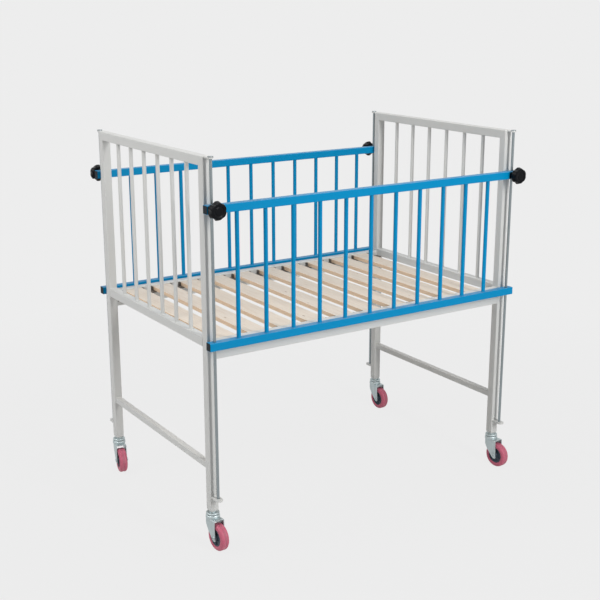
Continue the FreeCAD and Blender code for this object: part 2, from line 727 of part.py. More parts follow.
def make_clamp_stud(corner):
    """The stud that a knob presses towards the guide rod."""
    body = new_body(f"Stud_{corner}")
    stud_end = "knob_seat + stud_in_knob"
    revolve(body, [
        ("0", "-stud_reach"),
        ("stud_diameter / 2", "-stud_reach"),
        ("stud_diameter / 2", stud_end),
        ("0", stud_end),
    ])
    place(body, *clamp_pose(corner))
    sub_part(body, f"clamp_stud_{corner}")


def make_knob(corner):
    """A star knob: a neck, a lobed head with a shallow dish, and a blind bore."""
    body = new_body(f"Knob_{corner}")
    knob_top = "knob_seat + knob_neck_length + knob_depth"
    bore_radius = "stud_diameter / 2 + bore_clearance"
    bore_end = "knob_seat + stud_in_knob + seat_clearance"
    revolve(body, [
        (bore_radius, "knob_seat"),
        ("knob_neck_diameter / 2", "knob_seat"),
        ("knob_neck_diameter / 2", "knob_seat + knob_neck_length"),
        ("knob_back_diameter / 2", "knob_seat + knob_neck_length"),
        ("knob_diameter / 2", f"{knob_top} - knob_slope_depth"),
        ("knob_face_diameter / 2", knob_top),
        ("knob_dish_diameter / 2", knob_top),
        ("knob_dish_diameter / 2", f"{knob_top} - knob_dish_depth"),
        ("0", f"{knob_top} - knob_dish_depth"),
        ("0", bore_end),
        (bore_radius, bore_end),
    ])
    sketch = new_sketch(body, "XY_Plane")
    draw_circle(sketch, "scallop", "2 * knob_scallop_radius", "knob_scallop_centre")
    scallop = pocket_through(body, sketch)
    star = body.newObject("PartDesign::PolarPattern", "Star")
    star.Originals = [scallop]
    star.Axis = (origin_feature(body, "Z_Axis"), [""])
    star.Angle = 360
    bind(star, Occurrences="knob_lobe_count")
    body.Tip = star
    doc.recompute()
    place(body, *clamp_pose(corner))
    sub_part(body, f"knob_{corner}")


# ---------------------------------------------------------------- casters

def caster_pose(item, corner):
    """Stand an item on the swivel axis below a post, turned by that caster's yaw."""
    side, across = CORNERS[corner]
    place(item, f"{side} * post_x", f"{across} * post_y")
    item.Placement.Rotation = FreeCAD.Rotation(FreeCAD.Vector(0, 0, 1), value_of(f"yaw_{corner}"))
    item.setExpression("Placement.Rotation.Angle", f"Dims.yaw_{corner}")
    return item


def draw_leg(sketch):
    """The outline of a fork leg: straight edges that run into a round tip at the axle."""
    axle = FreeCAD.Vector(-value_of("wheel_trail"), value_of("axle_height"), 0)
    radius = value_of("fork_tip_radius")
    corners = [
        ("fork_back", "fork_top_height"),
        ("fork_back", "fork_knee_height"),
        ("-fork_heel_front", "fork_heel_height"),
        ("-fork_front", "fork_top_height"),
    ]
    back_top, knee, heel, front_top = [
        FreeCAD.Vector(value_of(x), value_of(y), 0) for x, y in corners
    ]
    under = tangent_point(heel, axle, radius, -1)
    ahead = tangent_point(front_top, axle, radius, 1)
    start = math.atan2(ahead.y - axle.y, ahead.x - axle.x)
    end = math.atan2(under.y - axle.y, under.x - axle.x)
    circle = Part.Circle(axle, FreeCAD.Vector(0, 0, 1), radius)
    edges = [
        Part.LineSegment(back_top, knee),
        Part.LineSegment(knee, heel),
        Part.LineSegment(heel, under),
        Part.ArcOfCircle(circle, start, end + 2 * math.pi if end < start else end),
        Part.LineSegment(ahead, front_top),
        Part.LineSegment(front_top, back_top),
    ]
    for edge in edges:
        sketch.addGeometry(edge)
    joins = [("Coincident", 0, 2, 1, 1), ("Coincident", 1, 2, 2, 1), ("Tangent", 2, 2, 3, 2),
             ("Tangent", 3, 1, 4, 1), ("Coincident", 4, 2, 5, 1), ("Coincident", 5, 2, 0, 1)]
    for join in joins:
        sketch.addConstraint(Sketcher.Constraint(*join))
    for name, point, (x, y) in zip(("top", "knee", "heel"), (0, 1, 2), corners):
        constrain(sketch, f"{name}_x", x, "DistanceX", -1, 1, point, 1)
        constrain(sketch, f"{name}_y", y, "DistanceY", -1, 1, point, 1)
    constrain(sketch, "front_x", corners[3][0], "DistanceX", -1, 1, 5, 1)
    constrain(sketch, "front_y", corners[3][1], "DistanceY", -1, 1, 5, 1)
    constrain(sketch, "axle_x", "-wheel_trail", "DistanceX", -1, 1, 3, 3)
    constrain(sketch, "axle_y", "axle_height", "DistanceY", -1, 1, 3, 3)
    constrain(sketch, "tip", "fork_tip_radius", "Radius", 3)


def tangent_point(point, centre, radius, side):
    """Where a line from a point touches a circle, on one side of it."""
    to_centre = centre - point
    reach = to_centre.Length
    angle = math.atan2(to_centre.y, to_centre.x)
    spread = math.asin(radius / reach)
    length = math.sqrt(reach ** 2 - radius ** 2)
    turned = angle - side * spread
    return point + FreeCAD.Vector(math.cos(turned), math.sin(turned), 0) * length


def make_fork(corner):
    """The swivelling fork: two legs, the sheet that joins them and the lower race."""
    body = new_body(f"Fork_{corner}")
    legs = new_sketch(body, "YZ_Plane")
    draw_leg(legs)
    pad(body, legs, "fork_outer_width", both_ways=True)
    channel = new_sketch(body, "XZ_Plane")
    draw_rectangle(channel, "channel", "fork_inner_width", "2 * (fork_top_height - fork_sheet)")
    pocket_through(body, channel)
    race_radius = "race_diameter / 2"
    revolve(body, [
        ("0", "fork_top_height - fork_sheet"),
        (race_radius, "fork_top_height - fork_sheet"),
        (race_radius, "race_top_height - race_bevel"),
        (f"{race_radius} - race_bevel", "race_top_height"),
        ("0", "race_top_height"),
    ])
    pin_hole = new_sketch(body, "XY_Plane")
    draw_circle(pin_hole, "kingpin", "kingpin_diameter + 2 * bore_clearance")
    pocket_through(body, pin_hole)
    axle_hole = new_sketch(body, "YZ_Plane")
    draw_circle(
        axle_hole, "axle", "axle_diameter + 2 * bore_clearance", "-wheel_trail", "axle_height")
    pocket_through(body, axle_hole)
    sub_part(caster_pose(body, corner), f"fork_{corner}")


def wheel_pose(body, corner):
    """Lay a turned wheel piece on its axle, with its own axis along the axle."""
    turned = place(body, "0", "-wheel_trail", "axle_height", ALONG_X)
    return caster_pose(compound([turned], f"Wheel_{corner}"), corner)


def make_axle(corner):
    """The riveted axle: a shank with a flat head outside each leg and hollow ends."""
    body = new_body(f"Axle_{corner}")
    face = "fork_outer_width / 2"
    end = f"({face} + axle_head_height)"
    bottom = f"({end} - axle_hollow_depth)"
    shank = "axle_diameter / 2"
    head = "axle_head_diameter / 2"
    hollow = "axle_hollow_diameter / 2"
    revolve(body, [
        ("0", f"-{bottom}"),
        (hollow, f"-{bottom}"),
        (hollow, f"-{end}"),
        (head, f"-{end}"),
        (head, f"-{face}"),
        (shank, f"-{face}"),
        (shank, face),
        (head, face),
        (head, end),
        (hollow, end),
        (hollow, bottom),
        ("0", bottom),
    ])
    sub_part(wheel_pose(body, corner), f"axle_{corner}")


def make_tyre(corner):
    """The tyre: two ribs with a groove between them, around the hub."""
    body = new_body(f"Tyre_{corner}")
    half = "wheel_width / 2"
    outer = "wheel_diameter / 2"
    inner = "hub_diameter / 2"
    groove = "tyre_groove_width / 2"
    revolve(body, [
        (inner, f"-{half}"),
        (f"{outer} - tyre_shoulder", f"-{half}"),
        (outer, f"tyre_shoulder - {half}"),
        (outer, f"-{groove}"),
        (f"{outer} - tyre_groove_depth", f"-{groove} + tyre_groove_depth / 2"),
        (f"{outer} - tyre_groove_depth", f"{groove} - tyre_groove_depth / 2"),
        (outer, groove),
        (outer, f"{half} - tyre_shoulder"),
        (f"{outer} - tyre_shoulder", half),
        (inner, half),
    ])
    sub_part(wheel_pose(body, corner), f"tyre_{corner}")


def make_hub(corner):
    """The wheel's hub: a rim under the tyre, a web and a boss around the axle."""
    body = new_body(f"Hub_{corner}")
    bore = "axle_diameter / 2 + bore_clearance"
    rim = "hub_diameter / 2 - bore_clearance"
    rim_inside = "hub_diameter / 2 - hub_rim_thickness"
    boss = "hub_boss_diameter / 2"
    boss_end = "hub_width / 2"
    rim_end = "hub_rim_width / 2"
    web_end = "hub_web_width / 2"
    revolve(body, [
        (bore, f"-{boss_end}"),
        (boss, f"-{boss_end}"),
        (boss, f"-{web_end}"),
        (rim_inside, f"-{web_end}"),
        (rim_inside, f"-{rim_end}"),
        (rim, f"-{rim_end}"),
        (rim, rim_end),
        (rim_inside, rim_end),
        (rim_inside, web_end),
        (boss, web_end),
        (boss, boss_end),
        (bore, boss_end),
    ])
    sub_part(wheel_pose(body, corner), f"hub_{corner}")


def make_caster_stems():
    """The fixed part of each caster: kingpin, ball ring, upper race, neck and stem."""
    body = new_body("CasterStems")
    head_top = "fork_top_height - fork_sheet - seat_clearance"
    ring_low = "race_top_height + seat_clearance"
    stem_top = "post_foot_height + stem_length"
    stem = revolve(body, [
        ("0", f"{head_top} - kingpin_head_height"),
        ("kingpin_head_diameter / 2", f"{head_top} - kingpin_head_height"),
        ("kingpin_head_diameter / 2", head_top),
        ("kingpin_diameter / 2", head_top),
        ("kingpin_diameter / 2", ring_low),
        ("ball_ring_diameter / 2", ring_low),
        ("ball_ring_diameter / 2", "cap_low"),
        ("cap_diameter / 2", "cap_low"),
        ("cap_diameter / 2", "cap_high"),
        ("neck_diameter / 2", "cap_high"),
        ("neck_diameter / 2", "post_foot_height"),
        ("stem_diameter / 2", "post_foot_height"),
        ("stem_diameter / 2", stem_top),
        ("0", stem_top),
    ])
    sub_part(at_four_corners(body, stem, "post_y"), "caster_stems")


def make_post_inserts():
    """The plastic inserts inside the feet of the posts, around the caster stems."""
    size = "tube_size - 2 * tube_wall - 2 * plug_clearance"
    inserts = []
    for side, across in CORNERS.values():
        x = f"{side} * post_x"
        y = f"{across} * post_y"
        outer = block(
            size, size, "post_insert_length",
            f"{x} - ({size}) / 2", f"{y} - ({size}) / 2", "post_foot_height")
        bore = cylinder(
            "stem_diameter + 2 * bore_clearance", "2 * (stem_length + seat_clearance)",
            x, y, "post_foot_height - stem_length - seat_clearance")
        inserts.append(cut(outer, [bore]))
    sub_part(compound(inserts, "post_inserts"), "post_inserts")


# ---------------------------------------------------------------- the whole crib

def build():
    """Make every sub-part."""
    for corner in CORNERS:
        make_post(corner)
    for side in SIDES:
        make_top_rail(side)
        make_cross_member(side, "cross_rail", "tube_size", "cross_rail_height")
        make_cross_member(side, "stretcher", "stretcher_size", "stretcher_height")
        make_end_bars(side)
    make_slats()
    make_lugs(
        "upper_lugs", "upper_lug_width", "upper_lug_reach", "upper_lug_thickness", "frame_height")
    make_lugs(
        "lower_lugs", "lower_lug_width", "lower_lug_reach", "lower_lug_thickness", "lower_lug_height")
    make_rod_caps()
    make_caster_stems()
    make_post_inserts()
    for row_name in FRONT_AND_REAR:
        make_side_rail(row_name)
        make_slat_clips(row_name)
        make_clip_screws(row_name)
        make_guide_rods(row_name)
        make_guard_rail(row_name, "lower", "guard_low_middle", with_insert=False)
        make_guard_rail(row_name, "upper", "guard_high_middle", with_insert=True)
        make_spindles(row_name)
        make_end_plugs(row_name)
        make_clamp_inserts(row_name)
    for corner in CORNERS:
        make_clamp_stud(corner)
        make_knob(corner)
        make_fork(corner)
        make_axle(corner)
        make_tyre(corner)
        make_hub(corner)


def check_document():
    """Stop if a feature failed or a sub-part is not sound."""
    for item in doc.Objects:
        if "Invalid" in item.State or "Error" in item.State:
            raise RuntimeError(f"{item.Label}: {item.State}")
    for item in sub_parts:
        shape = item.Shape
        if shape.isNull() or not shape.isValid() or not shape.Solids:
            raise RuntimeError(f"{item.Label}: no valid solid")


def export():
    """Write each sub-part to its own STEP file."""
    os.makedirs("parts", exist_ok=True)
    for item in sub_parts:
        item.Shape.exportStep(f"parts/{item.Label}.step")
        box = item.Shape.BoundBox
        print(f"{item.Label}: {len(item.Shape.Solids)} solids, "
              f"x {box.XMin:.1f}..{box.XMax:.1f}, y {box.YMin:.1f}..{box.YMax:.1f}, "
              f"z {box.ZMin:.1f}..{box.ZMax:.1f}")


fill_sheet()
build()
doc.recompute()
check_document()
export()
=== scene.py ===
"""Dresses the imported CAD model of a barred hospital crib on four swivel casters."""

import logging
import math
from dataclasses import dataclass
from enum import Enum
from typing import Callable, Iterable, Sequence

import bmesh
import bpy
from mathutils import Matrix, Vector


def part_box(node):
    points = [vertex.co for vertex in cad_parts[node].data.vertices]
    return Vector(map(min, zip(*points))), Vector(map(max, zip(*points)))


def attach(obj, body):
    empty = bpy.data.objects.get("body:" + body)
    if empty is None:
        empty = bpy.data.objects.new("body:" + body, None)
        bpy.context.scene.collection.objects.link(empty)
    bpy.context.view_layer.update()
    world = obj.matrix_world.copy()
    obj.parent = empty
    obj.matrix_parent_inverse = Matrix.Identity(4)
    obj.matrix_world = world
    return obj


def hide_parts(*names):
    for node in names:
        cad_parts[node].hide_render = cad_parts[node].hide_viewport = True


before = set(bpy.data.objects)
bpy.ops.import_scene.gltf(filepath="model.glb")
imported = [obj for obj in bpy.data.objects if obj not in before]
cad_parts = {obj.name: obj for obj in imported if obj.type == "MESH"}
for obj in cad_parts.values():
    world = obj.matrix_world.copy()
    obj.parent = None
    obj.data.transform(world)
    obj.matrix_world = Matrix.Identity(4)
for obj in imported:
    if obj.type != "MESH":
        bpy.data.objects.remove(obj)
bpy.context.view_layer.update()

LOG = logging.getLogger("crib")

Colour = tuple[float, float, float]
Profile = Sequence[tuple[float, float]]

MM = 0.001
WELD_DISTANCE = 1e-6
SMOOTH_ANGLE = math.radians(32)

# The fine bevel on cut edges, one ripple of a weld bead and the round corners of a frame tube.
FINE_EDGE = 0.3 * MM
RIPPLE = 2.2 * MM
TUBE_CORNER = 2.5 * MM

# How far the end frames, the posts and the guide rods stand from the crib's middle.
END_X = 507.5 * MM
POST_Y = 310 * MM
ROD_Y = 342.5 * MM


class Half(Enum):
    """One of two opposite parts of the crib, as the sign of an axis."""

    @property
    def word(self) -> str:
        """Its name in the CAD node names."""
        return self.name.lower()


class Side(Half):
    """The two ends of the crib, as the sign of X."""

    LEFT = -1
    RIGHT = 1


class Row(Half):
    """The two long sides of the crib, as the sign of Y."""

    FRONT = -1
    REAR = 1


class Axis(Enum):
    """A direction along which a tube runs."""

    X = 0
    Y = 1
    Z = 2


CORNERS = [(row, side) for row in Row for side in Side]


def corner_word(row: Row, side: Side) -> str:
    """The corner's name in the CAD node names."""
    return f"{row.word}_{side.word}"


def corner_place(row: Row, side: Side, y: float, z: float = 0.0) -> Matrix:
    """Where something stands in line with an end frame, at a distance from the middle."""
    return Matrix.Translation((side.value * END_X, row.value * y, z))


# ---------------------------------------------------------------- shader nodes


class Nodes:
    """A short way to add and join the nodes of one node tree."""

    def __init__(self, tree: bpy.types.NodeTree, empty: bool = False) -> None:
        """Start on a tree.

        Args:
            tree: The node tree to fill.
            empty: Whether the nodes that it already has are dropped.
        """
        self.tree = tree
        if empty:
            tree.nodes.clear()

    def feed(self, socket: bpy.types.NodeSocket, value: object) -> None:
        """Link a socket to an input, or set the input's own value.

        Args:
            socket: The input.
            value: A socket, a number, a vector or a colour.
        """
        if isinstance(value, bpy.types.NodeSocket):
            self.tree.links.new(value, socket)
        elif socket.type == "RGBA":
            socket.default_value = (*value, 1.0)
        else:
            socket.default_value = value

    def add(self, kind: str, inputs: dict | None = None, **settings: object) -> bpy.types.Node:
        """Add a node.

        Args:
            kind: The node's type name.
            inputs: Values or sockets for its inputs, by name or by number.
            **settings: Properties of the node.

        Returns:
            The new node.
        """
        node = self.tree.nodes.new(kind)
        for name, value in settings.items():
            setattr(node, name, value)
        for key, value in (inputs or {}).items():
            self.feed(node.inputs[key], value)
        return node

    def use(self, group: bpy.types.ShaderNodeTree, **inputs: object) -> bpy.types.Node:
        """Place a shared node group.

        Args:
            group: The group's tree.
            **inputs: Values or sockets, with a low line for each space in an input's name.

        Returns:
            The group node.
        """
        values = {key.replace("_", " "): value for key, value in inputs.items()}
        return self.add("ShaderNodeGroup", values, node_tree=group)

    def math(self, operation: str, *values: object, clamp: bool = False) -> bpy.types.NodeSocket:
        """Join numbers by one operation.

        Args:
            operation: Name of the Math node's operation.
            *values: Numbers or sockets.
            clamp: Whether the result stays between 0 and 1.

        Returns:
            The result's socket.
        """
        node = self.add(
            "ShaderNodeMath", dict(enumerate(values)), operation=operation, use_clamp=clamp)
        return node.outputs[0]

    def times(self, first: object, second: object, clamp: bool = False) -> bpy.types.NodeSocket:
        """The product of two numbers."""
        return self.math("MULTIPLY", first, second, clamp=clamp)

    def plus(self, first: object, second: object) -> bpy.types.NodeSocket:
        """The sum of two numbers."""
        return self.math("ADD", first, second)

    def mix(self, share: object, first: object, second: object,
            blend: str = "MIX") -> bpy.types.NodeSocket:
        """Mix two colours.

        Args:
            share: How much of the second colour shows, from 0 to 1.
            first: The first colour or its socket.
            second: The second colour or its socket.
            blend: Name of the blend mode.

        Returns:
            The mixed colour's socket.
        """
        inputs = {0: share, 6: first, 7: second}
        return self.add("ShaderNodeMix", inputs, data_type="RGBA", blend_type=blend,
                        clamp_factor=True).outputs[2]

    def spread(self, value: object, low: float, high: float, to_low: float,
               to_high: float) -> bpy.types.NodeSocket:
        """Map a range of numbers to another range, clamped at its ends.

        Args:
            value: The number's socket.
            low: Lower end of the first range.
            high: Upper end of the first range.
            to_low: What the lower end becomes.
            to_high: What the upper end becomes.

        Returns:
            The mapped number's socket.
        """
        inputs = {0: value, 1: low, 2: high, 3: to_low, 4: to_high}
        return self.add("ShaderNodeMapRange", inputs, clamp=True).outputs[0]

    def object_place(self) -> bpy.types.NodeSocket:
        """The place of the shaded point in the crib's own axes."""
        return self.add("ShaderNodeTexCoord").outputs["Object"]

    def normal(self) -> bpy.types.NodeSocket:
        """The direction that the shaded point faces."""
        return self.add("ShaderNodeNewGeometry").outputs["Normal"]

    def parts(self, place: bpy.types.NodeSocket) -> bpy.types.bpy_prop_collection:
        """The three numbers of a place or a direction."""
        return self.add("ShaderNodeSeparateXYZ", {0: place}).outputs

    def vector(self, *parts: object) -> bpy.types.NodeSocket:
        """A place made of three numbers."""
        return self.add("ShaderNodeCombineXYZ", dict(enumerate(parts))).outputs[0]

    def noise(self, place: bpy.types.NodeSocket, scale: object, detail: float = 3.0,
              roughness: float = 0.55, distortion: float = 0.0) -> bpy.types.NodeSocket:
        """A soft random pattern.

        Args:
            place: The place's socket.
            scale: Patches per metre.
            detail: Number of finer layers.
            roughness: Strength of the finer layers.
            distortion: Swirl of the pattern.

        Returns:
            The socket of a value around one half.
        """
        inputs = {"Vector": place, "Scale": scale, "Detail": detail, "Roughness": roughness,
                  "Distortion": distortion}
        return self.add("ShaderNodeTexNoise", inputs).outputs[0]

    def bump(self, height: bpy.types.NodeSocket, strength: float,
             distance: float) -> bpy.types.NodeSocket:
        """A normal that follows a height.

        Args:
            height: The height's socket.
            strength: Share of the effect.
            distance: Depth of the relief, in metres.

        Returns:
            The normal's socket.
        """
        inputs = {"Height": height, "Strength": strength, "Distance": distance}
        return self.add("ShaderNodeBump", inputs).outputs[0]

    def join(self, shader: bpy.types.Node, colour: bpy.types.NodeSocket,
             roughness: bpy.types.NodeSocket, normal: bpy.types.NodeSocket) -> None:
        """Link the three patterns that every finish has.

        Args:
            shader: The finish's Principled BSDF.
            colour: The base colour.
            roughness: The roughness.
            normal: The normal.
        """
        self.tree.links.new(colour, shader.inputs["Base Color"])
        self.tree.links.new(roughness, shader.inputs["Roughness"])
        self.tree.links.new(normal, shader.inputs["Normal"])


SOCKET_KINDS = {float: "NodeSocketFloat", tuple: "NodeSocketColor"}


def make_group(name: str, inputs: dict[str, object], outputs: dict[str, type],
               fill: Callable[[Nodes, dict], dict]) -> bpy.types.ShaderNodeTree:
    """Make a shader node group once.

    Args:
        name: The group's name.
        inputs: Its inputs with their usual values.
        outputs: Its outputs with their kinds.
        fill: Adds the nodes, given the input sockets, and returns the output sockets.

    Returns:
        The group's node tree.
    """
    known = bpy.data.node_groups.get(name)
    if known:
        return known
    tree = bpy.data.node_groups.new(name, "ShaderNodeTree")
    for key, value in inputs.items():
        socket = tree.interface.new_socket(
            name=key, in_out="INPUT", socket_type=SOCKET_KINDS[type(value)])
        socket.default_value = (*value, 1.0) if isinstance(value, tuple) else value
    for key, kind in outputs.items():
        tree.interface.new_socket(name=key, in_out="OUTPUT", socket_type=SOCKET_KINDS[kind])
    nodes = Nodes(tree)
    entry = nodes.add("NodeGroupInput")
    results = fill(nodes, {key: entry.outputs[key] for key in inputs})
    nodes.add("NodeGroupOutput", results)
    return tree


def mottle_group() -> bpy.types.ShaderNodeTree:
    """Broad, faint changes of tone over a coated or moulded surface."""

    def fill(nodes: Nodes, given: dict) -> dict:
        """Lighten and darken the colour in soft patches."""
        place = nodes.object_place()
        broad = nodes.noise(place, given["Scale"], 2.0)
        fine = nodes.noise(place, nodes.times(given["Scale"], 9.0), 3.0)
        both = nodes.plus(nodes.times(broad, 0.7), nodes.times(fine, 0.3))
        swing = nodes.times(nodes.math("SUBTRACT", both, 0.5), given["Amount"])
        gain = nodes.plus(swing, 1.0)
        tint = nodes.add("ShaderNodeCombineColor", {0: gain, 1: gain, 2: gain}).outputs[0]
        return {"Colour": nodes.mix(1.0, given["Colour"], tint, "MULTIPLY"), "Value": both}

    return make_group("mottle", {"Colour": (0.5, 0.5, 0.5), "Scale": 6.0, "Amount": 0.1},
                      {"Colour": tuple, "Value": float}, fill)


def pebble_group() -> bpy.types.ShaderNodeTree:
    """The fine relief of powder coat and of moulded plastic."""

    def fill(nodes: Nodes, given: dict) -> dict:
        """Two layers of small round waves."""
        place = nodes.object_place()
        coarse = nodes.noise(place, given["Scale"], 1.0, 0.4)
        fine = nodes.noise(place, nodes.times(given["Scale"], 3.1), 2.0, 0.5)
        return {"Height": nodes.plus(coarse, nodes.times(fine, given["Fine"])), "Value": fine}

    return make_group("pebble", {"Scale": 500.0, "Fine": 0.4},
                      {"Height": float, "Value": float}, fill)


def dust_and_sheen_group() -> bpy.types.ShaderNodeTree:
    """Thin dust on what faces up, in patches; where its amount is high it also paints a pale sheen
    on the tops.
    """

    def fill(nodes: Nodes, given: dict) -> dict:
        """Blend the Dust colour over the surface's own on up-facing faces, as dust and, at a high
        amount, as painted sheen.
        """
        facing = nodes.spread(nodes.parts(nodes.normal())[2], 0.35, 1.0, 0.0, 1.0)
        patches = nodes.spread(nodes.noise(nodes.object_place(), 38.0, 4.0), 0.35, 0.75, 0.2, 1.0)
        mask = nodes.times(nodes.times(facing, patches), given["Amount"], clamp=True)
        return {"Colour": nodes.mix(mask, given["Colour"], given["Dust"]), "Mask": mask}

    return make_group(
        "settled dust",
        {"Colour": (0.5, 0.5, 0.5), "Dust": (0.62, 0.6, 0.56), "Amount": 0.1},
        {"Colour": tuple, "Mask": float}, fill)


def worn_edge_group() -> bpy.types.ShaderNodeTree:
    """A mask that is high on rubbed outer edges."""

    def fill(nodes: Nodes, given: dict) -> dict:
        """Compare the rounded normal with the real one, and break the mask up."""
        rounded = nodes.add("ShaderNodeBevel", {"Radius": given["Radius"]}, samples=4).outputs[0]
        dot = nodes.add("ShaderNodeVectorMath", {0: rounded, 1: nodes.normal()},
                        operation="DOT_PRODUCT").outputs["Value"]
        turned = nodes.spread(dot, 0.995, 0.86, 0.0, 1.0)
        breaks = nodes.spread(nodes.noise(nodes.object_place(), 240.0, 4.0), 0.3, 0.7, 0.35, 1.0)
        return {"Mask": nodes.times(nodes.times(turned, breaks), given["Amount"], clamp=True)}

    return make_group("worn edge", {"Radius": 0.0006, "Amount": 0.5}, {"Mask": float}, fill)


def drawn_group() -> bpy.types.ShaderNodeTree:
    """Long fine lines left by drawing, rolling or planing."""

    def fill(nodes: Nodes, given: dict) -> dict:
        """Stretch a pattern along one axis by squeezing the two others."""
        parts = nodes.parts(nodes.object_place())
        squeezed = [nodes.times(parts[index], value) for index, value in enumerate(given.values())]
        return {"Value": nodes.noise(nodes.vector(*squeezed), 1.0, 5.0, 0.6)}

    return make_group("drawn lines", {"Across X": 900.0, "Across Y": 900.0, "Across Z": 12.0},
                      {"Value": float}, fill)


# ---------------------------------------------------------------- finishes


@dataclass(frozen=True)
class Finish:
    """A surface finish, made into a material the first time it is used."""

    name: str
    colour: Colour

    def material(self) -> bpy.types.Material:
        """The finish as a material.

        Returns:
            The material, shared by every piece with this finish.
        """
        known = bpy.data.materials.get(self.name)
        if known:
            return known
        made = bpy.data.materials.new(self.name)
        made.use_nodes = True
        made.diffuse_color = (*self.colour, 1.0)
        nodes = Nodes(made.node_tree)
        self.dress(nodes, made.node_tree.nodes["Principled BSDF"])
        return made

    def dress(self, nodes: Nodes, shader: bpy.types.Node) -> None:
        """Join the finish's nodes to its shader.

        Args:
            nodes: The material's nodes.
            shader: Its Principled BSDF.
        """
        raise NotImplementedError


@dataclass(frozen=True)
class PowderCoat(Finish):
    """Semi-gloss powder coat on steel, with a faint orange peel."""

    roughness: float = 0.34
    mottle: float = 0.05
    peel: float = 0.25
    dust: float = 0.05
    specular: float = 0.4
    film: float = 0.1
    film_roughness: float = 0.12
    peel_depth: float = 0.12 * MM

    def dress(self, nodes: Nodes, shader: bpy.types.Node) -> None:
        """Mottled colour, dust on the tops that also paints a pale top sheen on the blue coat,
        orange peel and a clear top film.
        """
        toned = nodes.use(mottle_group(), Colour=self.colour, Scale=5.0, Amount=self.mottle)
        # On the blue coat this dust layer also paints a pale sheen on the up-facing tops: a
        # painted highlight.
        dusty = nodes.use(dust_and_sheen_group(), Colour=toned.outputs["Colour"], Amount=self.dust)
        peel = nodes.use(pebble_group(), Scale=420.0, Fine=0.35)
        rough = nodes.plus(nodes.spread(toned.outputs["Value"], 0.3, 0.7,
                                        self.roughness - 0.04, self.roughness + 0.05),
                           nodes.times(dusty.outputs["Mask"], 0.5))
        shader.inputs["Specular IOR Level"].default_value = self.specular
        shader.inputs["Coat Weight"].default_value = self.film
        shader.inputs["Coat Roughness"].default_value = self.film_roughness
        nodes.join(shader, dusty.outputs["Colour"], rough,
                   nodes.bump(peel.outputs["Height"], self.peel, self.peel_depth))


@dataclass(frozen=True)
class Plastic(Finish):
    """Moulded plastic with a spark-eroded grain and slightly rubbed edges."""

    roughness: float = 0.5
    rubbed: Colour = (0.12, 0.12, 0.125)
    edge: float = 0.35
    specular: float = 0.25
    grain: float = 0.35
    grain_depth: float = 0.08 * MM

    def dress(self, nodes: Nodes, shader: bpy.types.Node) -> None:
        """Grain, a broad change of tone, and lighter edges."""
        toned = nodes.use(mottle_group(), Colour=self.colour, Scale=30.0, Amount=0.25)
        worn = nodes.use(worn_edge_group(), Radius=0.0007, Amount=self.edge)
        colour = nodes.mix(worn.outputs["Mask"], toned.outputs["Colour"], self.rubbed)
        dusty = nodes.use(dust_and_sheen_group(), Colour=colour, Dust=(0.3, 0.3, 0.3), Amount=0.05)
        grain = nodes.use(pebble_group(), Scale=1500.0, Fine=0.6)
        rough = nodes.plus(nodes.spread(grain.outputs["Value"], 0.3, 0.7,
                                        self.roughness - 0.05, self.roughness + 0.06),
                           nodes.times(dusty.outputs["Mask"], 0.6))
        shader.inputs["Specular IOR Level"].default_value = self.specular
        nodes.join(shader, dusty.outputs["Colour"], rough,
                   nodes.bump(grain.outputs["Height"], self.grain, self.grain_depth))


@dataclass(frozen=True)
class Steel(Finish):
    """Bare or plated steel with lines along one axis and patches of tone."""

    roughness: float = 0.3
    across: Colour = (700.0, 700.0, 10.0)
    lines: float = 0.12
    metallic: float = 1.0
    bright_edge: Colour = (0.82, 0.84, 0.86)
    line_depth: float = 0.08 * MM

    def dress(self, nodes: Nodes, shader: bpy.types.Node) -> None:
        """Drawn lines, cloudy plating and brighter edges."""
        toned = nodes.use(mottle_group(), Colour=self.colour, Scale=55.0, Amount=0.22)
        across_x, across_y, across_z = self.across
        drawn = nodes.use(drawn_group(), Across_X=across_x, Across_Y=across_y,
                          Across_Z=across_z).outputs["Value"]
        worn = nodes.use(worn_edge_group(), Radius=0.0005, Amount=0.35)
        dark = nodes.mix(nodes.spread(drawn, 0.35, 0.7, 0.0, self.lines),
                         toned.outputs["Colour"], tuple(0.45 * part for part in self.colour))
        bright = nodes.mix(worn.outputs["Mask"], dark, self.bright_edge)
        rough = nodes.spread(drawn, 0.3, 0.72, self.roughness - 0.07, self.roughness + 0.12)
        shader.inputs["Metallic"].default_value = self.metallic
        nodes.join(shader, bright, rough, nodes.bump(drawn, 0.12, self.line_depth))


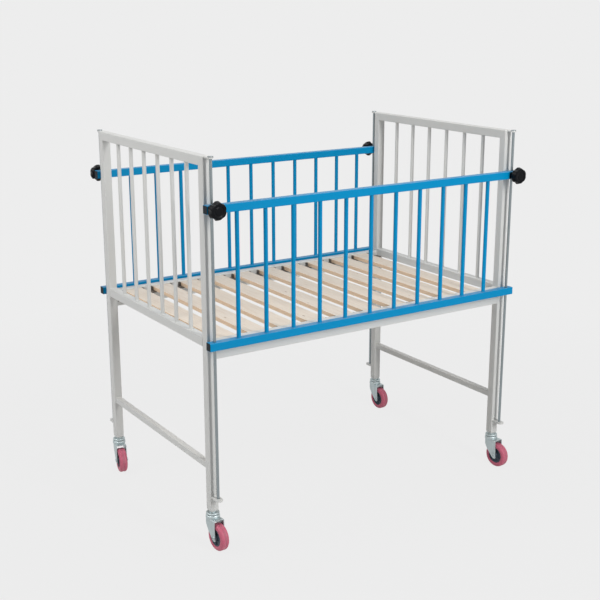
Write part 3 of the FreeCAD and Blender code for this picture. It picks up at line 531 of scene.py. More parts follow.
@dataclass(frozen=True)
class PlanedWood(Finish):
    """Bare pale softwood slats: lengthwise grain, small knots, browner sawn edges."""

    late: Colour = (0.66, 0.51, 0.38)
    edge: Colour = (0.93, 0.68, 0.46)
    other_slat: Colour = (0.76, 0.64, 0.5)
    knot: Colour = (0.3, 0.17, 0.09)
    first_x: float = -0.444
    pitch: float = 0.096
    relief_depth: float = 0.15 * MM

    def dress(self, nodes: Nodes, shader: bpy.types.Node) -> None:
        """Shift the grain from slat to slat, and colour the narrow sides apart."""
        place = nodes.object_place()
        x, y, z = nodes.parts(place)
        board = nodes.math("ROUND", nodes.math(
            "DIVIDE", nodes.math("SUBTRACT", x, self.first_x), self.pitch))
        chance = nodes.add("ShaderNodeTexWhiteNoise", {"W": board}, noise_dimensions="1D")
        own = chance.outputs["Value"]
        slide = nodes.times(own, 7.0)
        grain_place = nodes.vector(nodes.plus(nodes.times(x, 34.0), slide),
                                   nodes.plus(nodes.times(y, 1.6), slide), nodes.times(z, 40.0))
        rings = nodes.noise(grain_place, 1.0, 3.0, 0.5, 1.1)
        late_wood = nodes.spread(nodes.math("FRACT", nodes.times(rings, 9.0)),
                                 0.45, 0.95, 0.0, 1.0)
        fibres = nodes.use(drawn_group(), Across_X=1500.0, Across_Y=26.0,
                           Across_Z=1500.0).outputs["Value"]
        tone = nodes.mix(nodes.times(late_wood, 0.34), self.colour, self.late)
        tone = nodes.mix(nodes.spread(fibres, 0.45, 0.75, 0.0, 0.3), tone, self.late)
        tone = nodes.mix(nodes.times(own, 0.22), tone, self.other_slat)
        knot_place = nodes.vector(nodes.times(x, 26.0), nodes.times(y, 9.0), own)
        cells = nodes.add("ShaderNodeTexVoronoi", {"Vector": knot_place, "Scale": 1.0})
        knots = nodes.spread(cells.outputs["Distance"], 0.035, 0.075, 1.0, 0.0)
        tone = nodes.mix(nodes.times(knots, 0.75), tone, self.knot)
        sideways = nodes.math("ABSOLUTE", nodes.parts(nodes.normal())[0])
        narrow = nodes.spread(sideways, 0.45, 0.8, 0.0, 1.0)
        layer_place = nodes.add(
            "ShaderNodeMapping", {"Vector": place, "Scale": (1.0, 3.0, 700.0)}).outputs[0]
        layers = nodes.noise(layer_place, 1.0, 2.0)
        sawn = nodes.mix(nodes.spread(layers, 0.4, 0.65, 0.0, 0.6), self.edge,
                         tuple(0.75 * part for part in self.edge))
        colour = nodes.mix(nodes.times(narrow, 0.85), tone, sawn)
        dusty = nodes.use(dust_and_sheen_group(), Colour=colour, Amount=0.04)
        rough = nodes.spread(fibres, 0.3, 0.7, 0.55, 0.72)
        relief = nodes.plus(fibres, nodes.times(late_wood, 0.5))
        nodes.join(shader, dusty.outputs["Colour"], rough,
                   nodes.bump(relief, 0.3, self.relief_depth))


@dataclass(frozen=True)
class TyreRubber(Finish):
    """Dusty rubber with fine moulding specks, and painted shade darkening its tread groove."""

    centre: Vector = Vector((0, 0, 0))
    yaw: float = 0.0
    groove_half: float = 2.6 * MM
    dirt: Colour = (0.36, 0.13, 0.17)
    scuffed: Colour = (0.5, 0.32, 0.33)
    speck_depth: float = 0.12 * MM

    def dress(self, nodes: Nodes, shader: bpy.types.Node) -> None:
        """Read the place across the tread from the wheel's own axle."""
        local = nodes.add("ShaderNodeMapping", {
            "Vector": nodes.object_place(), "Location": self.centre,
            "Rotation": (0.0, 0.0, self.yaw)}, vector_type="TEXTURE").outputs[0]
        x, y, z = nodes.parts(local)
        radius = nodes.math("SQRT", nodes.plus(nodes.times(y, y), nodes.times(z, z)))
        across = nodes.math("ABSOLUTE", x)
        tread = nodes.spread(radius, 0.0345, 0.0369, 0.0, 1.0)
        groove = nodes.times(tread, nodes.spread(
            across, self.groove_half * 0.7, self.groove_half * 1.3, 1.0, 0.0))
        specks = nodes.noise(local, 420.0, 4.0, 0.7)
        scuffs = nodes.noise(local, 85.0, 5.0, 0.6)
        toned = nodes.use(mottle_group(), Colour=self.colour, Scale=45.0, Amount=0.2)
        colour = nodes.mix(nodes.spread(specks, 0.55, 0.8, 0.0, 0.35), toned.outputs["Colour"],
                           tuple(0.6 * part for part in self.colour))
        rolled = nodes.times(tread, nodes.spread(scuffs, 0.45, 0.75, 0.0, 0.3))
        colour = nodes.mix(rolled, colour, self.scuffed)
        # Darken the tread groove: painted shade for its recess.
        colour = nodes.mix(nodes.times(groove, 0.4), colour, self.dirt)
        rough = nodes.spread(scuffs, 0.3, 0.7, 0.4, 0.58)
        nodes.join(shader, colour, rough, nodes.bump(specks, 0.3, self.speck_depth))


WHITE_COAT = PowderCoat("pale_powder_coat", (0.69, 0.69, 0.67))
# The blue coat's dust amount of 0.3 mostly paints a pale sheen on the tops of its rails: a painted
# highlight.
BLUE_COAT = PowderCoat("blue_powder_coat", (0.0, 0.27, 0.555), 0.36, 0.08, 0.2, 0.3, 0.12, 0.0)
WOOD = PlanedWood("planed_softwood", (0.83, 0.74, 0.64))
ZINC = Steel("bright_zinc", (0.50, 0.565, 0.575), 0.5, (160.0, 160.0, 30.0), 0.25, 0.95)
ROD_STEEL = Steel("drawn_bright_bar", (0.31, 0.35, 0.365), 0.24, (900.0, 900.0, 8.0), 0.4)
BLACK_PLASTIC = Plastic(
    "black_moulding", (0.004, 0.0045, 0.006), 0.28, (0.04, 0.04, 0.044), specular=0.1)
CLIP_PLASTIC = Plastic("clip_moulding", (0.12, 0.105, 0.09), 0.5, (0.18, 0.165, 0.15))
PLUG_PLASTIC = Plastic(
    "plug_moulding", (0.009, 0.013, 0.018), 0.5, (0.06, 0.075, 0.09), 0.2, 0.12)
SLATE_PLASTIC = Plastic("slate_moulding", (0.055, 0.075, 0.10), 0.45, (0.25, 0.29, 0.33), 0.45)


# ---------------------------------------------------------------- mesh work


def along(start: Sequence[float], end: Sequence[float]) -> Matrix:
    """Where a shape made along Z lies when it runs from one point towards another.

    Args:
        start: The place of the shape's origin.
        end: A point that its Z axis runs through.

    Returns:
        The placing matrix.
    """
    first = Vector(start)
    turn = (Vector(end) - first).to_track_quat("Z", "Y").to_matrix().to_4x4()
    return Matrix.Translation(first) @ turn


def in_mm(profile: Profile) -> Profile:
    """A profile of points given in millimetres, in metres."""
    return [(across * MM, height * MM) for across, height in profile]


def mirrored(half: Profile) -> Profile:
    """A profile that comes down to height zero, followed by its mirror image below."""
    return [*half, *((across, -height) for across, height in reversed(half[:-1]))]


def copies(shape: "Shape", places: Iterable[Matrix]) -> "Shape":
    """A shape made of copies of another.

    Args:
        shape: The shape to copy.
        places: Where each copy goes.

    Returns:
        The new shape.
    """
    made = Shape()
    made.stamp(shape, places)
    return made


def add_object(name: str, data: bpy.types.ID) -> bpy.types.Object:
    """Put an object into the scene.

    Args:
        name: The object's name.
        data: Its mesh, lamp or camera.

    Returns:
        The object.
    """
    made = bpy.data.objects.new(name, data)
    bpy.context.scene.collection.objects.link(made)
    return made


class Shape:
    """A mesh in the making, in metres and in the crib's own axes."""

    def __init__(self) -> None:
        """Start with nothing."""
        self.bm = bmesh.new()

    def block(self, low: Sequence[float], high: Sequence[float], radius: float = 0.0,
              segments: int = 3, runs: Axis | None = None) -> None:
        """Add a box, with round edges where a radius is given.

        Args:
            low: Its lowest corner.
            high: Its highest corner.
            radius: Radius of the rounded edges.
            segments: Flats in each rounded edge.
            runs: Rounds only the edges along this axis, as on a tube.
        """
        size = Vector(high) - Vector(low)
        middle = (Vector(high) + Vector(low)) / 2
        place = Matrix.Translation(middle) @ Matrix.Diagonal((*size, 1.0))
        made = bmesh.ops.create_cube(self.bm, size=1.0, matrix=place)["verts"]
        if radius <= 0:
            return
        edges = {edge for vert in made for edge in vert.link_edges}
        if runs is not None:
            edges = {edge for edge in edges if self._runs_along(edge, runs)}
        self.round_edges(edges, radius, segments)

    def round_edges(self, edges: Iterable[bmesh.types.BMEdge], radius: float,
                    segments: int) -> None:
        """Round some edges.

        Args:
            edges: The edges.
            radius: Radius of the rounding.
            segments: Flats in it.
        """
        bmesh.ops.bevel(self.bm, geom=list(edges), offset=radius, offset_type="OFFSET",
                        segments=segments, profile=0.5, affect="EDGES", clamp_overlap=True,
                        material=-1)

    @staticmethod
    def _runs_along(edge: bmesh.types.BMEdge, axis: Axis) -> bool:
        """Whether an edge runs along an axis."""
        run = edge.verts[1].co - edge.verts[0].co
        return abs(run[axis.value]) > 0.999 * run.length

    def turned(self, profile: Profile, place: Matrix | None = None, steps: int = 32) -> None:
        """Add a turned shape: a profile of (radius, height) points spun about Z.

        Args:
            profile: The points, in order.
            place: Where the shape goes.
            steps: Flats around the axis.
        """
        line = [self.bm.verts.new((radius, 0.0, height)) for radius, height in profile]
        edges = [self.bm.edges.new(pair) for pair in zip(line, line[1:])]
        before = set(self.bm.verts) - set(line)
        bmesh.ops.spin(
            self.bm, geom=line + edges, cent=(0, 0, 0), axis=(0, 0, 1), dvec=(0, 0, 0),
            angle=2 * math.pi, steps=steps, use_merge=True, use_duplicate=False)
        made = [vert for vert in self.bm.verts if vert not in before]
        bmesh.ops.remove_doubles(self.bm, verts=made, dist=WELD_DISTANCE)
        if place is not None:
            made = [vert for vert in self.bm.verts if vert not in before]
            bmesh.ops.transform(self.bm, matrix=place, verts=made)

    def flared_bar(self, radius: float, length: float, flare: float, curve: Profile) -> None:
        """Add a round bar along Z that widens towards the weld at each end.

        Args:
            radius: The bar's radius.
            length: Its length.
            flare: How much wider it is at its ends.
            curve: The flare's points, as shares of its width at shares of that same length.
        """
        end = [(radius + wider * flare, height * flare) for wider, height in curve]
        far_end = [(across, length - height) for across, height in reversed(end)]
        self.turned([(0.0, 0.0), *end, *far_end, (0.0, length)], steps=28)

    def bead(self, start: Sequence[float], end: Sequence[float], radius: float = 1.1 * MM) -> None:
        """Add a rippled weld bead along a straight seam.

        Args:
            start: One end of the seam.
            end: Its other end.
            radius: The bead's radius.
        """
        length = (Vector(end) - Vector(start)).length
        waves = max(3, round(length / RIPPLE))
        profile = [(0.0, -radius * 0.6)]
        for index in range(2 * waves + 1):
            swell = radius if index % 2 else 0.82 * radius
            profile.append((swell, length * index / (2 * waves)))
        profile.append((0.0, length + radius * 0.6))
        self.turned(profile, along(start, end), 8)

    def bead_around(self, centre: Sequence[float], half: Sequence[float], axis: Axis) -> None:
        """Add weld beads around the four sides of a tube's end.

        Args:
            centre: Centre of the tube's end.
            half: Half of the tube's size along the two other axes, in order.
            axis: The axis along which the tube runs.
        """
        first, second = [other.value for other in Axis if other is not axis]
        for across, span, half_across, half_span in ((first, second, half[0], half[1]),
                                                     (second, first, half[1], half[0])):
            for sign in (-1, 1):
                start = Vector(centre)
                start[across] += sign * half_across
                end = start.copy()
                start[span] -= half_span - 1.5 * MM
                end[span] += half_span - 1.5 * MM
                self.bead(start, end)

    def split(self, through: Sequence[float], away: Sequence[float], drop: bool = False) -> None:
        """Split the faces along a plane.

        Args:
            through: A point on the plane.
            away: The plane's normal.
            drop: Whether what lies beyond the plane goes.
        """
        geometry = self.bm.verts[:] + self.bm.edges[:] + self.bm.faces[:]
        bmesh.ops.bisect_plane(self.bm, geom=geometry, dist=WELD_DISTANCE, plane_co=through,
                               plane_no=away, clear_outer=drop)

    def cut(self, through: Sequence[float], away: Sequence[float]) -> None:
        """Cut the whole shape by a plane, drop what lies beyond it and close the cut.

        Args:
            through: A point on the plane.
            away: The direction of what goes.
        """
        self.split(through, away, drop=True)
        rim = [edge for edge in self.bm.edges if edge.is_boundary]
        if rim:
            bmesh.ops.holes_fill(self.bm, edges=rim, sides=0)

    def stamp(self, other: "Shape", places: Iterable[Matrix]) -> None:
        """Add copies of another shape.

        Args:
            other: The shape to copy.
            places: Where each copy goes.
        """
        mesh = bpy.data.meshes.new("stamp")
        other.bm.to_mesh(mesh)
        for place in places:
            copy = mesh.copy()
            copy.transform(place)
            self.bm.from_mesh(copy)
            bpy.data.meshes.remove(copy)
        bpy.data.meshes.remove(mesh)

    def copy_of(self, node: str) -> None:
        """Add a merged copy of a CAD node's mesh.

        Args:
            node: The CAD node's name.
        """
        self.bm.from_mesh(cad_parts[node].data)
        bmesh.ops.remove_doubles(self.bm, verts=self.bm.verts, dist=1e-5)
        bmesh.ops.dissolve_limit(
            self.bm, angle_limit=math.radians(0.5), verts=self.bm.verts, edges=self.bm.edges)

    def piece(self, name: str, finish: Finish, body: str, slot: str,
              replaces: Sequence[str] = (), edge: float = 0.0, keep_normals: bool = False,
              flat_sided: bool = False) -> None:
        """Finish the mesh and make it a piece of the crib.

        Args:
            name: The piece's name.
            finish: Its surface finish.
            body: The CAD body that it rides on.
            slot: A material slot's name; not used.
            replaces: The CAD nodes that it stands for.
            edge: Width of a fine bevel on its sharp edges.
            keep_normals: Whether its faces already point the right way.
            flat_sided: Whether broad flat faces are shaded flat up to their round edges.
        """
        if not keep_normals:
            bmesh.ops.remove_doubles(self.bm, verts=self.bm.verts, dist=WELD_DISTANCE)
            bmesh.ops.recalc_face_normals(self.bm, faces=self.bm.faces)
        for face in self.bm.faces:
            face.smooth = True
        for line in self.bm.edges:
            line.smooth = line.calc_face_angle(0.0) < SMOOTH_ANGLE
        mesh = bpy.data.meshes.new(name)
        self.bm.to_mesh(mesh)
        self.bm.free()
        made = add_object(name, mesh)
        mesh.materials.append(finish.material())
        if edge > 0:
            bevel = made.modifiers.new("fine_edges", "BEVEL")
            bevel.width = edge
            bevel.segments = 2
            bevel.limit_method = "ANGLE"
            bevel.angle_limit = SMOOTH_ANGLE
            bevel.harden_normals = True
        if flat_sided:
            weighted = made.modifiers.new("flat_sides", "WEIGHTED_NORMAL")
            weighted.keep_sharp = True
        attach(made, body)
        if replaces:
            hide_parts(*replaces)
        LOG.info("%s: %d faces", name, len(mesh.polygons))


def dress_node(node: str, finish: Finish) -> None:
    """Give a CAD node that stays as it is a finish of its own.

    Args:
        node: The CAD node's name.
        finish: Its surface finish.
    """
    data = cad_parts[node].data
    data.materials.clear()
    data.materials.append(finish.material())
    LOG.info("%s: kept, %s", node, finish.name)


def straight_tube(node: str, name: str, axis: Axis) -> None:
    """A painted tube with round corners that fills the box of its CAD node.

    Args:
        node: The CAD node's name.
        name: The piece's name.
        axis: The axis along which it runs.
    """
    low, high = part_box(node)
    shape = Shape()
    shape.block(low, high, TUBE_CORNER, 4, axis)
    shape.piece(name, WHITE_COAT, "frame", "white_frame", [node], flat_sided=True)


# ---------------------------------------------------------------- end frames


@dataclass
class EndFrame:
    """A welded end frame: two posts, three cross members and six round bars."""

    side: Side
    tube: float = 25 * MM
    foot: float = 106 * MM
    top: float = 1070 * MM
    foot_taper: float = 7 * MM
    foot_rings: Sequence[float] = (1.0, 0.62, 0.34, 0.12)
    foot_draw: float = 0.2
    foot_hollow: float = 1.2 * MM
    wall: float = 1.5 * MM
    bar_count: int = 6
    bar_radius: float = 5.5 * MM
    bar_flare: float = 1.6 * MM
    bar_curve: Profile = ((1.0, 0.0), (0.45, 0.4), (0.12, 1.0), (0.0, 1.9))
    stretcher_half: float = 9 * MM
    mitre_share: float = 0.985

    @property
    def x(self) -> float:
        """The frame's middle plane."""
        return self.side.value * END_X

    def build(self) -> None:
        """Make every piece of the frame."""
        word = self.side.word
        for row in Row:
            self.post(row)
        self.top_rail()
        for kind in ("cross_rail", "stretcher"):
            straight_tube(f"{kind}_{word}", f"{kind}_tube_{word}", Axis.Y)
        self.bars()
        self.welds()

    def post(self, row: Row) -> None:
        """A post, mitred at its top and drawn in at its foot.

        Args:
            row: The long side that it stands on.
        """
        half = self.tube / 2
        y = row.value * POST_Y
        shape = Shape()
        shape.block((self.x - half, y - half, self.foot), (self.x + half, y + half, self.top),
                    TUBE_CORNER, 4, Axis.Z)
        shape.cut((self.x, y - row.value * half, self.top - self.tube), (0, -row.value, 1))
        for share in self.foot_rings:
            shape.split((0, 0, self.foot + share * self.foot_taper), (0, 0, 1))
        for vert in shape.bm.verts:
            rise = (vert.co.z - self.foot) / self.foot_taper
            if rise < 1.0:
                draw_in = 1.0 - self.foot_draw * (1.0 - rise) ** 2
                vert.co.x = self.x + (vert.co.x - self.x) * draw_in
                vert.co.y = y + (vert.co.y - y) * draw_in
        under = [face for face in shape.bm.faces
                 if face.calc_center_median().z < self.foot + 0.01 * MM]
        bmesh.ops.inset_region(shape.bm, faces=under, thickness=self.wall, depth=0.0,
                               use_boundary=True, use_even_offset=True)
        bmesh.ops.translate(shape.bm, vec=(0, 0, self.foot_hollow),
                            verts=list({vert for face in under for vert in face.verts}))
        word = corner_word(row, self.side)
        shape.piece(f"post_tube_{word}", WHITE_COAT, "frame", "white_frame",
                    [f"post_{word}"], FINE_EDGE, flat_sided=True)

    def top_rail(self) -> None:
        """The top rail, mitred into both posts."""
        half = self.tube / 2
        reach = POST_Y + half
        under = self.top - self.tube
        shape = Shape()
        shape.block((self.x - half, -reach, under), (self.x + half, reach, self.top),
                    TUBE_CORNER, 4, Axis.Y)
        for sign in (-1, 1):
            shape.cut((self.x, sign * (reach - self.tube), under), (0, sign, -1))
        shape.piece(f"top_rail_tube_{self.side.word}", WHITE_COAT, "frame", "white_frame",
                    [f"top_rail_{self.side.word}"], FINE_EDGE, flat_sided=True)

    def bars(self) -> None:
        """The round bars, each with a small weld flare at both ends."""
        node = f"end_bars_{self.side.word}"
        low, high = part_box(node)
        bar = Shape()
        bar.flared_bar(self.bar_radius, high.z - low.z, self.bar_flare, self.bar_curve)
        first = low.y + self.bar_radius
        pitch = (high.y - low.y - 2 * self.bar_radius) / (self.bar_count - 1)
        shape = copies(bar, [Matrix.Translation((self.x, first + index * pitch, low.z))
                             for index in range(self.bar_count)])
        shape.piece(f"end_bars_round_{self.side.word}", WHITE_COAT, "frame", "white_frame",
                    [node])

    def welds(self) -> None:
        """The painted weld beads where the cross members meet the posts."""
        half = self.tube / 2
        inner = POST_Y - half
        reach = inner + self.tube
        under = self.top - self.tube
        shape = Shape()
        for sign in (-1, 1):
            for node, size in (("cross_rail", half), ("stretcher", self.stretcher_half)):
                low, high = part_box(f"{node}_{self.side.word}")
                shape.bead_around((self.x, sign * inner, (low.z + high.z) / 2), (size, size),
                                  Axis.Y)
            for across in (-half, half):
                mitre_x = self.x + across * self.mitre_share
                shape.bead((mitre_x, sign * (inner + 1 * MM), under + 1 * MM),
                           (mitre_x, sign * (reach - 2 * MM), self.top - 2 * MM), 0.5 * MM)
            shape.bead((self.x - half + 2 * MM, sign * inner, under),
                       (self.x + half - 2 * MM, sign * inner, under), 1.3 * MM)
        shape.piece(f"end_frame_welds_{self.side.word}", WHITE_COAT, "frame", "white_frame")


# ---------------------------------------------------------------- deck


@dataclass
class Deck:
    """The side rails, the slats between them and the clips that hold the slats."""

    slat_width: float = 60 * MM
    slat_count: int = 10
    slat_first: float = -474 * MM
    slat_pitch: float = 96 * MM
    slat_low: float = 573 * MM
    slat_high: float = 585 * MM
    slat_reach: float = 297.2 * MM
    slat_round: float = 1.2 * MM
    rail_face: float = 297.5 * MM
    rail_half: tuple[float, float] = (12.5 * MM, 25 * MM)
    cheek_depth: float = 10 * MM
    cheek_width: float = 4.5 * MM
    cheek_round: float = 0.8 * MM
    shelf_depth: float = 28 * MM
    shelf_low: float = 570 * MM
    flange_low: float = 552 * MM
    flange_depth: float = 3 * MM
    clip_round: float = 0.6 * MM
    bite: float = 0.5 * MM
    lap: float = 15 * MM
    gap: float = 0.3 * MM
    end: float = 495 * MM
    screw_head: float = 4 * MM

    def build(self) -> None:
        """Make every piece of the deck."""
        for row in Row:
            self.side_rail(row)
            self.clips(row)
            self.screws(row)
        self.slats()

    def side_rail(self, row: Row) -> None:
        """A rail along the crib, welded to its posts.

        Args:
            row: The long side that it belongs to.
        """
        node = f"side_rail_{row.word}"
        straight_tube(node, f"side_rail_tube_{row.word}", Axis.X)
        low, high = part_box(node)
        middle = (low + high) / 2
        seams = Shape()
        for sign in (-1, 1):
            seams.bead_around((sign * self.end, middle.y, middle.z), self.rail_half, Axis.X)
        seams.piece(f"side_rail_welds_{row.word}", WHITE_COAT, "frame", "white_frame")

    def starts(self) -> list[float]:
        """The lower ends of the slats along X."""
        return [self.slat_first + index * self.slat_pitch for index in range(self.slat_count)]

    def slats(self) -> None:
        """The slats, with softened edges."""
        shape = Shape()
        for start in self.starts():
            shape.block((start, -self.slat_reach, self.slat_low),
                        (start + self.slat_width, self.slat_reach, self.slat_high),
                        self.slat_round, 3)
        shape.piece("slats_planed", WOOD, "frame", "slat_wood", ["slats"], flat_sided=True)

    def gaps(self) -> list[tuple[float, float, bool, bool]]:
        """Where the clips sit.

        Returns:
            For each clip its two ends along X, and whether a slat lies to its left and right.
        """
        starts = self.starts()
        ends = [start + self.slat_width for start in starts]
        found = [(self.gap - self.end, starts[0], False, True)]
        found += [(end, start, True, True) for end, start in zip(ends, starts[1:])]
        found.append((ends[-1], self.end - self.gap, True, False))
        return found

    def clips(self, row: Row) -> None:
        """The clips along one rail: a shelf, a cheek beside each slat and a screwed flange.

        Args:
            row: The long side that they belong to.
        """
        inwards = -row.value
        face = row.value * self.rail_face
        shape = Shape()

        def box(low_x: float, high_x: float, depth: float, low_z: float, high_z: float,
                radius: float) -> None:
            """A rounded box that stands off the rail's face by a depth."""
            near, far = sorted((face, face + inwards * depth))
            shape.block((low_x, near, low_z), (high_x, far, high_z), radius, 2)

        for low_x, high_x, left, right in self.gaps():
            box(low_x - left * self.lap, high_x + right * self.lap, self.shelf_depth,
                self.shelf_low, self.slat_low, self.clip_round)
            box(low_x, high_x, self.flange_depth, self.flange_low, self.shelf_low + self.bite,
                self.clip_round)
            cheeks = [low_x + self.gap] * left + [high_x - self.gap - self.cheek_width] * right
            for start in cheeks:
                box(start, start + self.cheek_width, self.cheek_depth,
                    self.slat_low - self.bite, self.slat_high, self.cheek_round)
        shape.piece(f"slat_clips_moulded_{row.word}", CLIP_PLASTIC, "frame", "black_plastic",
                    [f"slat_clips_{row.word}"], flat_sided=True)

    def screws(self, row: Row) -> None:
        """The pan-head screws of the clips, each with a round dish in its head.

        Args:
            row: The long side that they belong to.
        """
        screw = Shape()
        head = self.screw_head
        screw.turned([
            (0.0, -3 * MM), (2 * MM, -3 * MM), (2 * MM, 0.0), (head, 0.0), (head, 0.8 * MM),
            (0.9 * head, 1.7 * MM), (0.6 * head, 2.3 * MM), (0.42 * head, 2.45 * MM),
            (0.3 * head, 1.5 * MM), (0.0, 1.3 * MM),
        ], steps=20)
        face = row.value * (self.rail_face - self.flange_depth)
        height = (self.flange_low + self.shelf_low) / 2
        middles = [(low_x + high_x) / 2 for low_x, high_x, _, _ in self.gaps()]
        shape = copies(screw, [along((middle, face, height), (middle, face - row.value, height))
                               for middle in middles])
        shape.piece(f"clip_screws_turned_{row.word}", ZINC, "frame", "zinc",
                    [f"clip_screws_{row.word}"])


# ---------------------------------------------------------------- guide rods


@dataclass
class GuideRods:
    """The four guide rods with their caps, and the lugs that hold them."""

    post_face: float = 322.5 * MM
    radius: float = 4 * MM
    low: float = 148 * MM
    top: float = 1070 * MM
    upper_half: float = 7.5 * MM
    upper_reach: float = 27.5 * MM
    upper_low: float = 1066 * MM
    lower_half: float = 10 * MM
    lower_reach: float = 36 * MM
    lower_high: float = 153 * MM
    end_share: float = 0.985
    end_flats: int = 12

    def build(self) -> None:
        """Make the rods, caps and lugs."""
        for row in Row:
            self.rods(row)
        self.caps()
        self.lugs("upper_lugs", self.upper_half, self.upper_reach, self.upper_low, self.top)
        self.lugs("lower_lugs", self.lower_half, self.lower_reach, self.low, self.lower_high)

    def rods(self, row: Row) -> None:
        """Two drawn rods, each riveted over below its lower lug.

        Args:
            row: The long side that they belong to.
        """
        radius = self.radius
        rod = Shape()
        rod.turned([
            (0.0, self.low - 2.4 * MM), (0.6 * radius, self.low - 2.3 * MM),
            (1.15 * radius, self.low - 1.5 * MM), (1.4 * radius, self.low - 0.4 * MM),
            (1.4 * radius, self.low), (radius, self.low), (radius, self.top), (0.0, self.top),
        ], steps=32)
        shape = copies(rod, [corner_place(row, side, ROD_Y) for side in Side])
        shape.piece(f"guide_rods_drawn_{row.word}", ROD_STEEL, "frame", "rod_steel",
                    [f"guide_rods_{row.word}"])

    def caps(self) -> None:
        """The flat caps on the rods' upper ends."""
        cap = Shape()
        cap.turned(in_mm((
            (0.0, 0.0), (6.9, 0.0), (7.4, 0.3), (7.5, 0.9), (7.4, 1.7), (6.8, 2.25),
            (5.6, 2.45), (0.0, 2.5),
        )), steps=40)
        shape = copies(cap, [corner_place(row, side, ROD_Y, self.top) for row, side in CORNERS])
        shape.piece("rod_caps_turned", ROD_STEEL, "frame", "rod_steel", ["rod_caps"])

    def lugs(self, node: str, half: float, reach: float, low: float, high: float) -> None:
        """Plates with round outer ends, welded to the posts.

        Args:
            node: The CAD node that they stand for.
            half: Half of their width.
            reach: How far they stand out from the posts.
            low: Height of their undersides.
            high: Height of their tops.
        """
        lugs = Shape()
        seams = Shape()
        for row, side in CORNERS:
            x = side.value * END_X
            face = row.value * self.post_face
            near, far = sorted((face, row.value * (self.post_face + reach)))
            plate = Shape()
            plate.block((x - half, near, low), (x + half, far, high))
            outer = [
                edge for edge in plate.bm.edges
                if abs(edge.verts[0].co.z - edge.verts[1].co.z) > 1 * MM
                and abs(edge.verts[0].co.y) > self.post_face + 1 * MM
            ]
            plate.round_edges(outer, self.end_share * half, self.end_flats)
            lugs.stamp(plate, [Matrix.Identity(4)])
            for height in (low, high):
                seams.bead((x - half + 1 * MM, face, height),
                           (x + half - 1 * MM, face, height), 1.0 * MM)
            for across in (-half, half):
                seams.bead((x + across, face, low), (x + across, face, high), 0.9 * MM)
        lugs.piece(f"{node}_plates", WHITE_COAT, "frame", "white_frame", [node], 0.5 * MM,
                   flat_sided=True)
        seams.piece(f"{node}_welds", WHITE_COAT, "frame", "white_frame")


# ---------------------------------------------------------------- guards


@dataclass
class Guard:
    """A sliding guard: two square rails, eleven spindles and four end plugs."""

    row: Row
    spindle_radius: float = 5.75 * MM
    spindle_count: int = 11
    flare: float = 1.5 * MM
    curve: Profile = ((1.0, 0.0), (0.5, 0.35), (0.15, 0.9), (0.0, 1.7))
    half_length: float = 525.5 * MM
    plug_half: float = 9.35 * MM
    plug_depth: float = 10 * MM
    plug_round: float = 1.4 * MM
    # The lip covers the tube's blue rim with dark plastic, as painted shade on the rim.
    lip_half: float = 10.3 * MM
    lip_depth: float = 0.8 * MM
    lip_gap: float = 0.2 * MM
    lip_round: float = 0.35 * MM

    @property
    def body(self) -> str:
        """The CAD body that the guard rides on."""
        return f"guard_{self.row.word}"

    def build(self) -> None:
        """Make every piece of the guard."""
        for level in ("lower", "upper"):
            self.rail(level)
        self.spindles()
        self.plugs()
        dress_node(f"clamp_inserts_{self.row.word}", BLACK_PLASTIC)

    def rail(self, level: str) -> None:
        """A rail with its holes for the guide rods.

        Args:
            level: Upper or lower.
        """
        node = f"guard_{level}_rail_{self.row.word}"
        shape = Shape()
        shape.copy_of(node)
        shape.piece(f"guard_{level}_tube_{self.row.word}", BLUE_COAT, self.body, "blue_enamel",
                    [node], keep_normals=True, flat_sided=True)

    def spindles(self) -> None:
        """The round bars, flared by their welds at both ends."""
        node = f"spindles_{self.row.word}"
        low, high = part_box(node)
        radius = self.spindle_radius
        bar = Shape()
        bar.flared_bar(radius, high.z - low.z, self.flare, self.curve)
        pitch = (high.x - low.x - 2 * radius) / (self.spindle_count - 1)
        y = self.row.value * ROD_Y
        shape = copies(bar, [Matrix.Translation((low.x + radius + index * pitch, y, low.z))
                             for index in range(self.spindle_count)])
        shape.piece(f"spindles_round_{self.row.word}", BLUE_COAT, self.body, "blue_enamel",
                    [node])

    def plugs(self) -> None:
        """The plugs in the rails' ends, with a thin dark lip over the tube's wall that puts
        painted shade on the tube's rim.
        """
        shape = Shape()
        y = self.row.value * ROD_Y
        for level in ("lower", "upper"):
            low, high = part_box(f"guard_{level}_rail_{self.row.word}")
            z = (low.z + high.z) / 2
            for side in Side:
                for near, far, half, radius, flats in (
                        (-self.plug_depth, -self.lip_gap, self.plug_half, self.plug_round, 3),
                        (0.0, self.lip_depth, self.lip_half, self.lip_round, 2)):
                    inner, outer = sorted((side.value * (self.half_length + near),
                                           side.value * (self.half_length + far)))
                    shape.block((inner, y - half, z - half), (outer, y + half, z + half),
                                radius, flats)
        shape.piece(f"end_plugs_moulded_{self.row.word}", PLUG_PLASTIC, self.body,
                    "black_plastic", [f"guard_end_plugs_{self.row.word}"], flat_sided=True)


# ---------------------------------------------------------------- clamps


